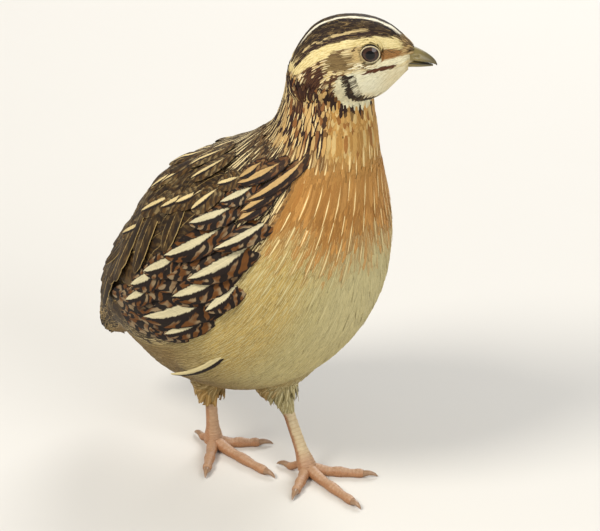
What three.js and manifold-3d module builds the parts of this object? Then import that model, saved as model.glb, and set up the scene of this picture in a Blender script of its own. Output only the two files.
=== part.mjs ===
// A common quail caught alert in mid-step, life size, as a still display model.
// Millimetres, +Z up. The bird heads along +X, its left is +Y, and its head is turned to its left.
// The body, neck and head are modelled as one feathered outline and parted with thin cuts.
// The folded wings, the flank plumes and the tail carry their large feathers as overlapping vanes.

import * as THREE from "three";
import { mergeVertices } from "three/addons/utils/BufferGeometryUtils.js";
import Module from "manifold-3d";

const wasm = await Module();
wasm.setup();

// Driving dimensions, in millimetres and degrees.
const GAP = 0.3;
const HEAD_TURN = 42;
const EYE_AXIS = { x: 35.3, y: 4.5, z: 132.8 };
const EYE_RADIUS = 3.6;
const EYE_SPAN = 4.8;
const VANE_THICKNESS = 0.6;
const LEG_SPREAD = 2.5;
const STRIDE = 30;

// Small helpers.
const vec = (x, y, z) => new THREE.Vector3(x, y, z);
const rad = THREE.MathUtils.degToRad;
const mix = THREE.MathUtils.lerp;

// Smooth curve through the same numbers of each station, read at a station number.
function track(stations, keys) {
  const curve = (key) => new THREE.SplineCurve(stations.map((s, i) => new THREE.Vector2(i, s[key])));
  const curves = keys.map(curve);
  const last = stations.length - 1;
  return (t) => curves.map((c) => c.getPoint(THREE.MathUtils.clamp(t / last, 0, 1)).y);
}

// A closed mesh from rings of points that all have the same count, with a flat end at each side.
function skinRings(rings) {
  const sides = rings[0].length;
  const points = rings.flat();
  const index = [];
  for (let i = 0; i + 1 < rings.length; i++) {
    for (let j = 0; j < sides; j++) {
      const a = i * sides + j;
      const b = i * sides + ((j + 1) % sides);
      index.push(a, b, b + sides, a, b + sides, a + sides);
    }
  }
  const end = (rings.length - 1) * sides;
  for (let j = 1; j + 1 < sides; j++) {
    index.push(0, j + 1, j);
    index.push(end, end + j, end + j + 1);
  }
  const geometry = new THREE.BufferGeometry().setFromPoints(points);
  geometry.setIndex(index);
  return geometry;
}

// A three.js geometry as a manifold-3d solid, turned the right way out.
function solid(geometry, matrix) {
  const bare = new THREE.BufferGeometry();
  bare.setAttribute("position", geometry.getAttribute("position").clone());
  if (geometry.index) bare.setIndex(geometry.index);
  if (matrix) bare.applyMatrix4(matrix);
  const merged = mergeVertices(bare, 1e-4);
  const kept = [];
  const source = merged.index.array;
  for (let i = 0; i < source.length; i += 3) {
    const [a, b, c] = source.subarray(i, i + 3);
    if (a !== b && b !== c && a !== c) kept.push(a, b, c);
  }
  const make = (triangles) =>
    new wasm.Manifold(
      new wasm.Mesh({
        numProp: 3,
        vertProperties: merged.attributes.position.array,
        triVerts: new Uint32Array(triangles),
      }),
    );
  const made = make(kept);
  if (made.volume() > 0) return made;
  const turned = [];
  for (let i = 0; i < kept.length; i += 3) turned.push(kept[i], kept[i + 2], kept[i + 1]);
  return make(turned);
}

const join = (pieces) => pieces.reduce((whole, piece) => whole.add(piece));

// The largest closed surface of a solid.
function largest(shape) {
  return shape.decompose().reduce((best, body) => (body.volume() > best.volume() ? body : best));
}

// Body outline from the tail tip to the top of the neck, as sections square to the spine:
// centre, half depth from back to breast, and half width.
const BODY = [
  { x: -51, y: 0, z: 27, deep: 2.5, wide: 6.5 },
  { x: -46.5, y: 0, z: 33, deep: 6.5, wide: 10.5 },
  { x: -40, y: 0, z: 39.5, deep: 13.5, wide: 15.5 },
  { x: -30.5, y: 0, z: 44.5, deep: 21.5, wide: 22 },
  { x: -19, y: 0, z: 49, deep: 29, wide: 27.5 },
  { x: -6.5, y: 0, z: 56, deep: 33, wide: 30.5 },
  { x: 5, y: 0, z: 67, deep: 32.5, wide: 30.5 },
  { x: 13.2, y: 0, z: 79.5, deep: 27.5, wide: 27 },
  { x: 18.8, y: 0.5, z: 91.5, deep: 20.5, wide: 21 },
  { x: 22, y: 1.5, z: 102, deep: 15.2, wide: 15.2 },
  { x: 23.3, y: 2, z: 113, deep: 12.2, wide: 12.2 },
  { x: 24.2, y: 1.5, z: 124, deep: 10.8, wide: 10.8 },
];
const TAIL_CUT = 2;
const NECK_CUT = 8.7;
const TAIL_TIP_STEP = 8;
const bodyTrack = track(BODY, ["x", "y", "z", "deep", "wide"]);

// Section of the body at a station: its centre, its directions and its half sizes.
// Behind the first station the outline runs straight on, as the surface that the tail's tips lie along.
function bodySection(t) {
  const step = 0.02;
  const [x, y, z, deep, wide] = bodyTrack(t);
  const from = Math.max(t, step);
  const ahead = vec(...bodyTrack(from + step));
  const behind = vec(...bodyTrack(from - step));
  const along = ahead.sub(behind).normalize();
  const side = vec(0, 1, 0).addScaledVector(along, -along.y).normalize();
  const back = along.clone().cross(side);
  const centre = vec(x, y, z).addScaledVector(along, Math.min(t, 0) * TAIL_TIP_STEP);
  return { centre, along, side, back, deep, wide };
}

// Point on the body at a station and at an angle round it, 0 on the back and 90 on the left side.
function bodyPoint(t, angle, lift = 0) {
  const s = bodySection(t);
  const a = rad(angle);
  const spot = s.centre
    .clone()
    .addScaledVector(s.back, s.deep * Math.cos(a))
    .addScaledVector(s.side, s.wide * Math.sin(a));
  return lift ? spot.addScaledVector(bodyNormal(t, angle), lift) : spot;
}

// Outward normal of the body's surface.
function bodyNormal(t, angle) {
  const along = bodyPoint(t + 0.05, angle).sub(bodyPoint(t - 0.05, angle));
  const round = bodyPoint(t, angle + 2).sub(bodyPoint(t, angle - 2));
  return along.cross(round).normalize();
}

// The body's solid between two stations, grown outward by a clearance.
function bodySolid(from, to, slices, grow = 0) {
  const SIDES = 24;
  const rings = [];
  for (let i = 0; i <= slices; i++) {
    const s = bodySection(mix(from, to, i / slices));
    rings.push(
      Array.from({ length: SIDES }, (_, j) => {
        const a = (2 * Math.PI * j) / SIDES;
        return s.centre
          .clone()
          .addScaledVector(s.back, (s.deep + grow) * Math.cos(a))
          .addScaledVector(s.side, (s.wide + grow) * Math.sin(a));
      }),
    );
  }
  return solid(skinRings(rings));
}

// A patch of the body's surface with thickness: stations and angles are its edges, and lift(u, v)
// gives the outer face over the body at a share u of the length and v of the width.
function bodyPatch({ from, to, edges, inner, lift, rows = 7, columns = 4 }) {
  const sheet = (height) =>
    Array.from({ length: rows + 1 }, (_, i) => {
      const u = i / rows;
      const [low, high] = edges(u);
      return Array.from({ length: columns + 1 }, (_, j) => {
        const v = j / columns;
        return bodyPoint(mix(from, to, u), mix(low, high, v), height(u, v));
      });
    });
  const outer = sheet(lift);
  const under = sheet(() => inner);
  const rings = outer.map((row, i) => [...row, ...under[i].reverse()]);
  return solid(skinRings(rings));
}

// Path of a feather over the body: it leaves its root towards the tail, turning round the body by drift.
function featherPath({ t, angle, length, drift, rootLift, tipLift }, shares) {
  const STEPS = 12;
  const spots = [];
  let station = t;
  for (let i = 0; i <= STEPS; i++) {
    const share = i / STEPS;
    const turned = angle + drift * share;
    spots.push({ station, turned });
    const stride = bodyPoint(station - 0.1, turned).distanceTo(bodyPoint(station, turned)) / 0.1;
    station -= length / STEPS / Math.max(stride, 6);
  }
  return shares.map((share) => {
    const at = share * STEPS;
    const low = spots[Math.floor(at)];
    const high = spots[Math.min(STEPS, Math.floor(at) + 1)];
    const part = at - Math.floor(at);
    const station = mix(low.station, high.station, part);
    const turned = mix(low.turned, high.turned, part);
    return {
      spot: bodyPoint(station, turned, mix(rootLift, tipLift, share)),
      normal: bodyNormal(station, turned),
    };
  });
}

// One feather vane as a thin solid that lies along the body: its root is sunk and its tip is free.
const VANE_SHARES = [0, 0.4, 0.8, 1];
const VANE_WIDTHS = [0.6, 1, 0.85, 0.3];
const BODY_CURVE = 60;
function vane(feather) {
  const path = featherPath(feather, VANE_SHARES);
  const rings = path.map(({ spot, normal }, i) => {
    const next = path[Math.min(i + 1, path.length - 1)].spot;
    const last = path[Math.max(i - 1, 0)].spot;
    const along = next.clone().sub(last).normalize();
    const across = along.clone().cross(normal).normalize();
    const half = feather.width * 0.5 * VANE_WIDTHS[i];
    const droop = (half * half) / BODY_CURVE;
    const thick = VANE_THICKNESS * (i === path.length - 1 ? 0.6 : 1);
    const corner = (sideways, up) =>
      spot
        .clone()
        .addScaledVector(across, sideways * half)
        .addScaledVector(normal, up - droop + sideways * feather.tilt * half);
    return [corner(-1, 0), corner(1, 0), corner(1, thick), corner(-1, thick)];
  });
  return solid(skinRings(rings));
}

// A row of feathers between two roots, each with a small seeded change of length and direction.
let seed = 7;
function wander(amount) {
  seed = (seed * 16807) % 2147483647;
  return ((seed / 2147483647) * 2 - 1) * amount;
}
function vaneRow(row, side) {
  return Array.from({ length: row.count }, (_, i) => {
    const share = row.count > 1 ? i / (row.count - 1) : 0;
    return vane({
      t: mix(row.from.t, row.to.t, share),
      angle: side * (mix(row.from.angle, row.to.angle, share) + wander(0.8)),
      length: mix(row.length[0], row.length[1], share) * (1 + wander(0.04)),
      width: row.width,
      drift: side * (row.drift + wander(1)),
      rootLift: row.rootLift,
      tipLift: row.tipLift + wander(0.1),
      tilt: side * row.tilt,
    });
  });
}

// Limb: a round loft along a path of { x, y, z, r }, kept above the floor where it is asked to.
function limb(stations, { sides = 8, slices = 8, grow = 0, onFloor = false } = {}) {
  const read = track(stations, ["x", "y", "z", "r"]);
  const last = stations.length - 1;
  const rings = [];
  for (let i = 0; i <= slices; i++) {
    const t = (last * i) / slices;
    const [x, y, z, r] = read(t);
    const ahead = vec(...read(Math.min(t + 0.05, last)));
    const along = ahead.sub(vec(...read(Math.max(t - 0.05, 0)))).normalize();
    const level = Math.abs(along.z) < 0.9 ? vec(0, 0, 1) : vec(1, 0, 0);
    const across = along.clone().cross(level).normalize();
    const up = across.clone().cross(along);
    rings.push(
      Array.from({ length: sides }, (_, j) => {
        const a = (2 * Math.PI * (j + 0.5)) / sides;
        const p = vec(x, y, z)
          .addScaledVector(across, (r + grow) * Math.sin(a))
          .addScaledVector(up, (r + grow) * Math.cos(a));
        if (onFloor) p.z = Math.max(p.z, 0);
        return p;
      }),
    );
  }
  return solid(skinRings(rings));
}

// A box that fills the half space behind a plane, seen from the plane's own normal.
function halfSpace(point, normal, offset = 0) {
  const SIZE = 400;
  const facing = normal.clone().normalize();
  const turn = new THREE.Quaternion().setFromUnitVectors(vec(0, 0, 1), facing);
  const middle = point.clone().addScaledVector(facing, offset - SIZE / 2);
  const place = new THREE.Matrix4().compose(middle, turn, vec(1, 1, 1));
  return solid(new THREE.BoxGeometry(SIZE, SIZE, SIZE), place);
}

// An ellipsoid placed by a matrix.
function ellipsoid(rx, ry, rz, place, segments = 12) {
  const ball = new THREE.SphereGeometry(1, segments, Math.round(segments * 0.67));
  return solid(ball, place.clone().multiply(new THREE.Matrix4().makeScale(rx, ry, rz)));
}

// Head outline in its own frame: x forward from the eye axis, z up. Sections stand square to x.
const HEAD = [
  { x: -20.5, z: -10.5, tall: 3.5, wide: 3.5 },
  { x: -18, z: -8.2, tall: 7.4, wide: 6.6 },
  { x: -14, z: -5.9, tall: 10.4, wide: 8.2 },
  { x: -9.5, z: -4.8, tall: 11.5, wide: 8.8 },
  { x: -5, z: -4.5, tall: 11.8, wide: 8.9 },
  { x: -0.5, z: -4.5, tall: 11.4, wide: 8.3 },
  { x: 3.5, z: -4.2, tall: 9.7, wide: 7 },
  { x: 6.6, z: -3.7, tall: 7.2, wide: 5.5 },
  { x: 9.2, z: -3.6, tall: 4.7, wide: 4 },
  { x: 11.2, z: -3.8, tall: 2.8, wide: 2.7 },
  { x: 12.3, z: -4, tall: 1.3, wide: 1.5 },
];
const headPlace = new THREE.Matrix4()
  .makeTranslation(EYE_AXIS.x, EYE_AXIS.y, EYE_AXIS.z)
  .multiply(new THREE.Matrix4().makeRotationZ(rad(HEAD_TURN)));
const inHead = (x, y, z) => vec(x, y, z).applyMatrix4(headPlace);
const headPart = (x, y, z) => headPlace.clone().multiply(new THREE.Matrix4().makeTranslation(x, y, z));

// A loft along the head's x, placed on the bird. A floor or roof share flattens its lower or upper half.
function headLoft(stations, { sides = 22, slices = 16, grow = 0, roof = 1, floor = 1 } = {}) {
  const read = track(stations, ["x", "z", "tall", "wide"]);
  const rings = [];
  for (let i = 0; i <= slices; i++) {
    const [x, z, tall, wide] = read(((stations.length - 1) * i) / slices);
    rings.push(
      Array.from({ length: sides }, (_, j) => {
        const a = (2 * Math.PI * (j + 0.5)) / sides;
        const share = Math.cos(a) > 0 ? roof : floor;
        return inHead(x, (wide + grow) * Math.sin(a), z + (tall + grow) * Math.cos(a) * share);
      }),
    );
  }
  return solid(skinRings(rings));
}

const group = new THREE.Group();

function addNode(name, shape, look) {
  const mesh = largest(shape).getMesh();
  const geometry = new THREE.BufferGeometry();
  geometry.setAttribute("position", new THREE.BufferAttribute(new Float32Array(mesh.vertProperties), 3));
  geometry.setIndex(new THREE.BufferAttribute(new Uint32Array(mesh.triVerts), 1));
  geometry.computeVertexNormals();
  const node = new THREE.Mesh(geometry, look);
  node.name = name;
  group.add(node);
}

const look = (color, roughness) => new THREE.MeshStandardMaterial({ color, roughness, metalness: 0 });
const plumage = look(0x8a6a42, 0.9);
const bellyPlumage = look(0xc9ae72, 0.9);
const hornBrown = look(0x5e5646, 0.45);
const eyeBrown = look(0x1c120c, 0.08);
const legSkin = look(0xd9936b, 0.55);
const clawHorn = look(0x8d6a50, 0.4);

// Torso, neck and head outlines, parted with thin cuts.
const bodyWhole = bodySolid(TAIL_CUT, BODY.length - 1, 20);
const bodyGrown = bodySolid(TAIL_CUT, BODY.length - 1, 20, GAP);
const headWhole = headLoft(HEAD);
const neckSection = bodySection(NECK_CUT);
const chin = inHead(3.5, 0, -13.2);
const nape = inHead(-21, 0, -8);
const headDown = nape.clone().sub(chin).cross(inHead(0, 1, 0).sub(inHead(0, 0, 0))).normalize();
if (headDown.z > 0) headDown.negate();
const headUp = headDown.clone().negate();
const belowNeckCut = halfSpace(neckSection.centre, neckSection.along);
const aboveNeckCut = halfSpace(neckSection.centre, neckSection.along.clone().negate(), -GAP);
const belowHeadCut = halfSpace(chin, headUp);
const aboveHeadCut = halfSpace(chin, headDown, -GAP);

const headAndNeck = headWhole.add(bodyWhole.intersect(aboveNeckCut));
const neck = headAndNeck.intersect(belowHeadCut);
let head = headAndNeck.intersect(aboveHeadCut);

// Eyes with their sockets and lids.
const EYE_SIDES = [["left", 1], ["right", -1]];
const LID_RADIUS = 2.6;
const LID_THICKNESS = 0.48;
const eyes = EYE_SIDES.map(([name, side]) => {
  const centre = headPart(0.2, side * EYE_SPAN, 0);
  const lidTurn = new THREE.Matrix4().makeRotationX(Math.PI / 2 - side * rad(6));
  const lid = new THREE.TorusGeometry(LID_RADIUS, LID_THICKNESS, 5, 15);
  const lidPlace = headPart(0.2, side * (EYE_SPAN + 2.75), 0.1).multiply(lidTurn);
  head = head.add(solid(lid, lidPlace.multiply(new THREE.Matrix4().makeScale(1, 0.92, 1.2))));
  return { name, eye: ellipsoid(EYE_RADIUS, EYE_RADIUS, EYE_RADIUS, centre, 14), centre };
});
for (const { centre } of eyes) {
  head = head.subtract(ellipsoid(EYE_RADIUS + GAP, EYE_RADIUS + GAP, EYE_RADIUS + GAP, centre, 14));
}

// Bill: an arched upper half over a slimmer lower half, with the line of the mouth between them.
const UPPER_BILL = [
  { x: 7, z: -4.2, tall: 3.2, wide: 2.6 },
  { x: 10.5, z: -4.3, tall: 3.0, wide: 2.35 },
  { x: 13.2, z: -4.8, tall: 2.35, wide: 1.95 },
  { x: 15.4, z: -5.4, tall: 1.6, wide: 1.35 },
  { x: 16.9, z: -6.1, tall: 0.9, wide: 0.75 },
  { x: 17.5, z: -6.7, tall: 0.35, wide: 0.35 },
];
const LOWER_BILL = [
  { x: 7, z: -5.2, tall: 1.9, wide: 2.3 },
  { x: 10.5, z: -5.3, tall: 1.75, wide: 2.05 },
  { x: 13.2, z: -5.7, tall: 1.35, wide: 1.65 },
  { x: 15.2, z: -6.1, tall: 0.85, wide: 1.05 },
  { x: 16.4, z: -6.55, tall: 0.35, wide: 0.4 },
];
const headGrown = headLoft(HEAD, { grow: GAP });
const LIP = 0.12;
const billOptions = { sides: 10, slices: 7 };
const upperWhole = headLoft(UPPER_BILL, { ...billOptions, floor: LIP });
const upperGrown = headLoft(UPPER_BILL, { ...billOptions, floor: LIP, grow: GAP });
let upperBill = upperWhole.subtract(headGrown);
for (const [, side] of EYE_SIDES) {
  const taper = new THREE.Matrix4().makeRotationZ(side * rad(-9));
  const nostril = headPart(11.9, side * 2.35, -3.35).multiply(taper);
  const operculum = headPart(11.5, side * 2.0, -2.75).multiply(taper);
  upperBill = upperBill.add(ellipsoid(1.7, 0.6, 0.7, operculum, 8).subtract(headGrown));
  upperBill = upperBill.subtract(ellipsoid(1.15, 0.75, 0.32, nostril, 6));
}
const lowerWhole = headLoft(LOWER_BILL, { ...billOptions, roof: LIP });
const lowerBill = lowerWhole.subtract(headGrown).subtract(upperGrown);

// The line of the mouth runs on from the bill into the face.
const GAPE = [
  { x: 9.5, y: 3.9, z: -5.2, r: 0.32 },
  { x: 6.5, y: 5.6, z: -5.6, r: 0.3 },
  { x: 3.6, y: 7.1, z: -6.4, r: 0.22 },
];
for (const [, side] of EYE_SIDES) {
  const line = GAPE.map(({ x, y, z, r }) => {
    const p = inHead(x, side * y, z);
    return { x: p.x, y: p.y, z: p.z, r };
  });
  head = head.subtract(limb(line, { sides: 5, slices: 5 }));
}

// Folded wings: a thin shield that fits the side, with its feathers in tiers from shoulder to tip.
const WING_ROWS = [
  // Primaries, the lowest tier.
  {
    count: 3,
    from: { t: 4.4, angle: 55 },
    to: { t: 4.5, angle: 66 },
    length: [25, 23],
    width: 7,
    drift: -8,
    rootLift: 0.7,
    tipLift: 1.3,
    tilt: -0.1,
  },
  // Secondaries and tertials.
  {
    count: 5,
    from: { t: 5.3, angle: 40 },
    to: { t: 5.5, angle: 70 },
    length: [31, 27],
    width: 9.5,
    drift: -3,
    rootLift: 1.1,
    tipLift: 2.2,
    tilt: -0.12,
  },
  // Greater coverts.
  {
    count: 4,
    from: { t: 6.3, angle: 46 },
    to: { t: 6.5, angle: 71 },
    length: [24, 22],
    width: 10,
    drift: 0,
    rootLift: 1.2,
    tipLift: 2.8,
    tilt: -0.12,
  },
  // Median coverts.
  {
    count: 3,
    from: { t: 7.15, angle: 52 },
    to: { t: 7.3, angle: 71 },
    length: [19, 18],
    width: 10,
    drift: 0,
    rootLift: 1.1,
    tipLift: 3.2,
    tilt: -0.12,
  },
  // Lesser coverts at the shoulder.
  {
    count: 2,
    from: { t: 7.8, angle: 60 },
    to: { t: 7.85, angle: 71 },
    length: [14, 13],
    width: 9,
    drift: 0,
    rootLift: 0.6,
    tipLift: 3.0,
    tilt: -0.12,
  },
  // Scapulars along the back.
  {
    count: 5,
    from: { t: 7.4, angle: 42 },
    to: { t: 4.9, angle: 28 },
    length: [27, 24],
    width: 10,
    drift: 0,
    rootLift: 1.0,
    tipLift: 3.0,
    tilt: 0.1,
  },
];
const WING_EDGE = { from: 3.2, to: 8.1, top: [30, 48], bottom: [66, 77] };

// Angles of a wing's upper and lower edge at a share of the way from its tip to its shoulder.
function wingEdges(u, side) {
  const top = mix(WING_EDGE.top[0], WING_EDGE.top[1], Math.max(0, u * 2 - 1));
  const bottom = mix(WING_EDGE.bottom[0], WING_EDGE.bottom[1], Math.sin(Math.PI * Math.min(0.5, u * 0.9)));
  return [side * top, side * bottom];
}

// The room that a wing takes up beside the body, which the flank plumes below it keep clear of.
const SEAM_ANGLE = 78;
function wingRoom(side, seam) {
  return bodyPatch({
    from: 2.2,
    to: 8.6,
    edges: () => [side * 10, side * seam],
    inner: -4,
    lift: () => 9,
  });
}
function wing(side) {
  const shield = bodyPatch({
    from: WING_EDGE.from,
    to: WING_EDGE.to,
    edges: (u) => wingEdges(u, side),
    inner: -2,
    lift: (u, v) => 0.9 + 1.2 * Math.sin(Math.PI * v) * Math.sin(Math.PI * mix(0.08, 0.95, u)),
  });
  const feathers = WING_ROWS.flatMap((row) => vaneRow(row, side));
  return join([shield, ...feathers]).subtract(bodyGrown).intersect(wingRoom(side, SEAM_ANGLE));
}
const wings = EYE_SIDES.map(([name, side]) => ({ name, shape: wing(side) }));

// Long flank plumes grow from the torso under each wing.
const FLANK_ROWS = [
  // Upper plumes, over the lower half of the wing.
  {
    count: 6,
    from: { t: 7.9, angle: 93 },
    to: { t: 5.2, angle: 90 },
    length: [26, 25],
    width: 9,
    drift: -12,
    rootLift: -0.9,
    tipLift: 3.0,
    tilt: 0.1,
  },
  // Middle plumes.
  {
    count: 5,
    from: { t: 7.3, angle: 103 },
    to: { t: 4.9, angle: 101 },
    length: [29, 26],
    width: 9,
    drift: -11,
    rootLift: -0.9,
    tipLift: 2.6,
    tilt: 0.1,
  },
  // Lower plumes.
  {
    count: 4,
    from: { t: 6.6, angle: 113 },
    to: { t: 4.6, angle: 112 },
    length: [29, 26],
    width: 9,
    drift: -8,
    rootLift: -0.9,
    tipLift: 2.1,
    tilt: 0.1,
  },
  // Lowest plumes, above the thigh.
  {
    count: 2,
    from: { t: 5.7, angle: 125 },
    to: { t: 5.0, angle: 124 },
    length: [27, 26],
    width: 9,
    drift: -4,
    rootLift: -0.9,
    tipLift: 1.7,
    tilt: 0.1,
  },
];
const SEAM_GAP = 0.8;
const plumes = EYE_SIDES.flatMap(([, side]) => {
  const room = wingRoom(side, SEAM_ANGLE + SEAM_GAP);
  return FLANK_ROWS.flatMap((row) => vaneRow(row, side)).map((plume) => plume.subtract(room));
});
const bodyLength = bodyWhole.intersect(belowNeckCut);

// Tail: a short core with its feathers fanned over it and coverts above and below.
const TAIL_ROWS = [
  // Rectrices.
  {
    count: 4,
    from: { t: 1.7, angle: 14 },
    to: { t: 1.7, angle: 84 },
    length: [21, 18],
    width: 6.5,
    drift: -3,
    rootLift: -0.9,
    tipLift: 0.6,
    tilt: -0.08,
  },
  // Upper tail coverts.
  {
    count: 2,
    from: { t: 1.9, angle: 16 },
    to: { t: 1.9, angle: 58 },
    length: [15, 14],
    width: 8,
    drift: 0,
    rootLift: -0.9,
    tipLift: 1.8,
    tilt: -0.08,
  },
  // Under tail coverts.
  {
    count: 1,
    from: { t: 1.85, angle: 150 },
    to: { t: 1.85, angle: 168 },
    length: [13, 14],
    width: 9,
    drift: 4,
    rootLift: -0.9,
    tipLift: 1.0,
    tilt: 0.05,
  },
];
const TAIL_SLICES = 5;
const tailCore = bodySolid(0.45, TAIL_CUT - GAP / TAIL_TIP_STEP, TAIL_SLICES);
const tailFeathers = EYE_SIDES.flatMap(([, side]) => TAIL_ROWS.flatMap((row) => vaneRow(row, side)));
const tail = join([tailCore, ...tailFeathers]).subtract(bodyGrown);

// Legs: the feathered thigh, the bare shank, and toes that rest on small flats at floor level.
// The thigh's feathers hang round the top of the shank, down to the share of it that is called cuff.
const LEGS = [
  {
    name: "left",
    foot: { x: STRIDE / 2, y: LEG_SPREAD },
    ankle: { x: -14, y: 2.5, z: 22.9 },
    knee: { x: 9, y: 9, z: 48 },
    cuff: 0.66,
    toes: { inner: -62, middle: -14, outer: 36, hind: -172 },
  },
  {
    name: "right",
    foot: { x: -STRIDE / 2, y: -LEG_SPREAD },
    ankle: { x: 1.5, y: -3.5, z: 25.5 },
    knee: { x: -3, y: -14, z: 44 },
    cuff: 0.58,
    toes: { inner: 46, middle: -7, outer: -54, hind: 165 },
  },
];
const TOE_LENGTHS = { inner: 12.5, middle: 22, outer: 15.5, hind: 6 };
const CLAW_LENGTH = 3.7;
const HUB_HEIGHT = 2.6;
const HUB_RADIUS = 2.7;
const SHANK_RADIUS = 1.6;
const TOE_RADIUS = 1.3;

// Station of a toe or claw at a reach from the foot's middle, at the toe's own turn about it.
function footStation(leg, toe, reach, z, r) {
  const turn = rad(leg.toes[toe]);
  return { x: leg.foot.x + Math.cos(turn) * reach, y: leg.foot.y + Math.sin(turn) * reach, z, r };
}

// A toe swells at its pads, and its underside is cut level at the floor.
function toeStations(leg, toe) {
  const length = TOE_LENGTHS[toe];
  const at = (share, z, r) => footStation(leg, toe, length * share, z, r);
  if (toe === "hind") {
    return [at(0, 3.6, 1.2), at(0.45, 2.3, 1.05), at(0.85, 1.05, 1.05), at(1, 0.95, 0.95)];
  }
  return [
    at(0, 2.4, 1.7),
    at(0.25, 1.5, TOE_RADIUS * 1.2),
    at(0.42, 1.2, TOE_RADIUS),
    at(0.58, 1.2, TOE_RADIUS * 1.15),
    at(0.78, 1.0, TOE_RADIUS * 0.88),
    at(0.92, 1.05, TOE_RADIUS),
    at(1, 1.05, TOE_RADIUS * 0.8),
  ];
}

function clawStations(leg, toe) {
  const start = TOE_LENGTHS[toe] + GAP + 0.05;
  const at = (share, z, r) => footStation(leg, toe, start + CLAW_LENGTH * share, z, r);
  return [at(0, 1.05, 0.9), at(0.4, 1.3, 0.75), at(0.8, 0.95, 0.45), at(1, 0.45, 0.18)];
}

const thighs = [];
for (const leg of LEGS) {
  const shankAt = (share, r) => ({
    x: leg.foot.x + leg.ankle.x * share,
    y: leg.foot.y + leg.ankle.y * share,
    z: HUB_HEIGHT + leg.ankle.z * share,
    r,
  });
  const ankle = shankAt(1, 0);
  const toKnee = (share, r) => ({
    x: mix(ankle.x, leg.knee.x, share),
    y: mix(ankle.y, leg.knee.y, share),
    z: mix(ankle.z, leg.knee.z, share),
    r,
  });
  const shankStations = [
    shankAt(-0.02, HUB_RADIUS),
    shankAt(0.08, HUB_RADIUS * 0.85),
    shankAt(0.2, SHANK_RADIUS * 1.1),
    shankAt(0.5, SHANK_RADIUS),
    shankAt(leg.cuff + 0.12, SHANK_RADIUS * 1.05),
  ];
  const shankShape = { sides: 8, slices: 8 };
  const shank = limb(shankStations, { ...shankShape, onFloor: true });
  const shankSpace = [...shankStations, shankAt(leg.cuff + 0.15, SHANK_RADIUS)];
  const shankGrown = limb(shankSpace, { ...shankShape, grow: GAP });
  const thighStations = [
    shankAt(leg.cuff, SHANK_RADIUS + 1.1),
    shankAt(leg.cuff + 0.15, SHANK_RADIUS + 2.6),
    toKnee(0, 6.3),
    toKnee(0.45, 10),
    toKnee(0.85, 12.5),
    toKnee(1.1, 12),
  ];
  const thighShape = { sides: 14, slices: 8 };
  const thigh = limb(thighStations, thighShape).subtract(bodyGrown).subtract(shankGrown);
  thighs.push(limb(thighStations, { ...thighShape, grow: GAP }));
  addNode("thigh_" + leg.name, thigh, bellyPlumage);
  addNode("shank_" + leg.name, shank, legSkin);

  const placed = [shankGrown];
  for (const toe of ["middle", "inner", "outer", "hind"]) {
    const toeShape = { sides: 7, slices: toe === "hind" ? 4 : 8 };
    let shape = limb(toeStations(leg, toe), { ...toeShape, onFloor: true });
    for (const other of placed) shape = shape.subtract(other);
    placed.push(limb(toeStations(leg, toe), { ...toeShape, grow: GAP }));
    addNode(["toe", leg.name, toe].join("_"), shape, legSkin);
    const claw = limb(clawStations(leg, toe), { sides: 6, slices: 3 });
    addNode(["claw", leg.name, toe].join("_"), claw, clawHorn);
  }
}

const clearOfThighs = (shape) => thighs.reduce((rest, thigh) => rest.subtract(thigh), shape);
const torso = join([bodyLength, ...plumes.map(clearOfThighs)]);
addNode("torso", torso, bellyPlumage);
addNode("neck", neck, plumage);
addNode("head", head, plumage);
for (const { name, eye } of eyes) addNode("eye_" + name, eye, eyeBrown);
addNode("bill_upper", upperBill, hornBrown);
addNode("bill_lower", lowerBill, hornBrown);
for (const { name, shape } of wings) addNode("wing_" + name, shape, plumage);
addNode("tail", tail, plumage);

// The origin is moved to the middle of the bird's own extents, at floor level.
const extents = new THREE.Box3().setFromObject(group);
const middle = extents.getCenter(vec(0, 0, 0));
for (const node of group.children) node.geometry.translate(-middle.x, -middle.y, -extents.min.z);

export default group;
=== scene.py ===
"""Looks of a life-size common quail, caught alert in mid-step with its head turned to its left.

One skin carries a coat of small feathers. The large feathers of wings, flanks and tail lie over it in tiers.
All sizes are in millimetres until a mesh is written. The bird heads along +X and its left is +Y.
"""

import math

import bpy
import numpy as np
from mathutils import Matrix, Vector
from mathutils.bvhtree import BVHTree


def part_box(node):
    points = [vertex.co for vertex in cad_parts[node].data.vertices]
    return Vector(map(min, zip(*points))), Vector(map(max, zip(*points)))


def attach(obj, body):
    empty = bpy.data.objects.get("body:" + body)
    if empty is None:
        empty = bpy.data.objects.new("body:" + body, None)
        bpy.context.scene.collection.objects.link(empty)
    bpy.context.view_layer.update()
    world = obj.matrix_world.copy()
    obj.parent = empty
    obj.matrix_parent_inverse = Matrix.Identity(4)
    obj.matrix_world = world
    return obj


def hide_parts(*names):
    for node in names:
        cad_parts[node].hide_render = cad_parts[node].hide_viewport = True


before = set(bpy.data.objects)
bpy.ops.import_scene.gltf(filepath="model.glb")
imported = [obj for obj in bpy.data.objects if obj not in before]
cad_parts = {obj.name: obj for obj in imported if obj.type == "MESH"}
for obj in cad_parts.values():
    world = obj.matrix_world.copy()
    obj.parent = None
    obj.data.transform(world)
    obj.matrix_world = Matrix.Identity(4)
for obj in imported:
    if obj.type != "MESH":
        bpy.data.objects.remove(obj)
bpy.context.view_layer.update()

MM = 0.001
rng = np.random.default_rng(11)

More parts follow.
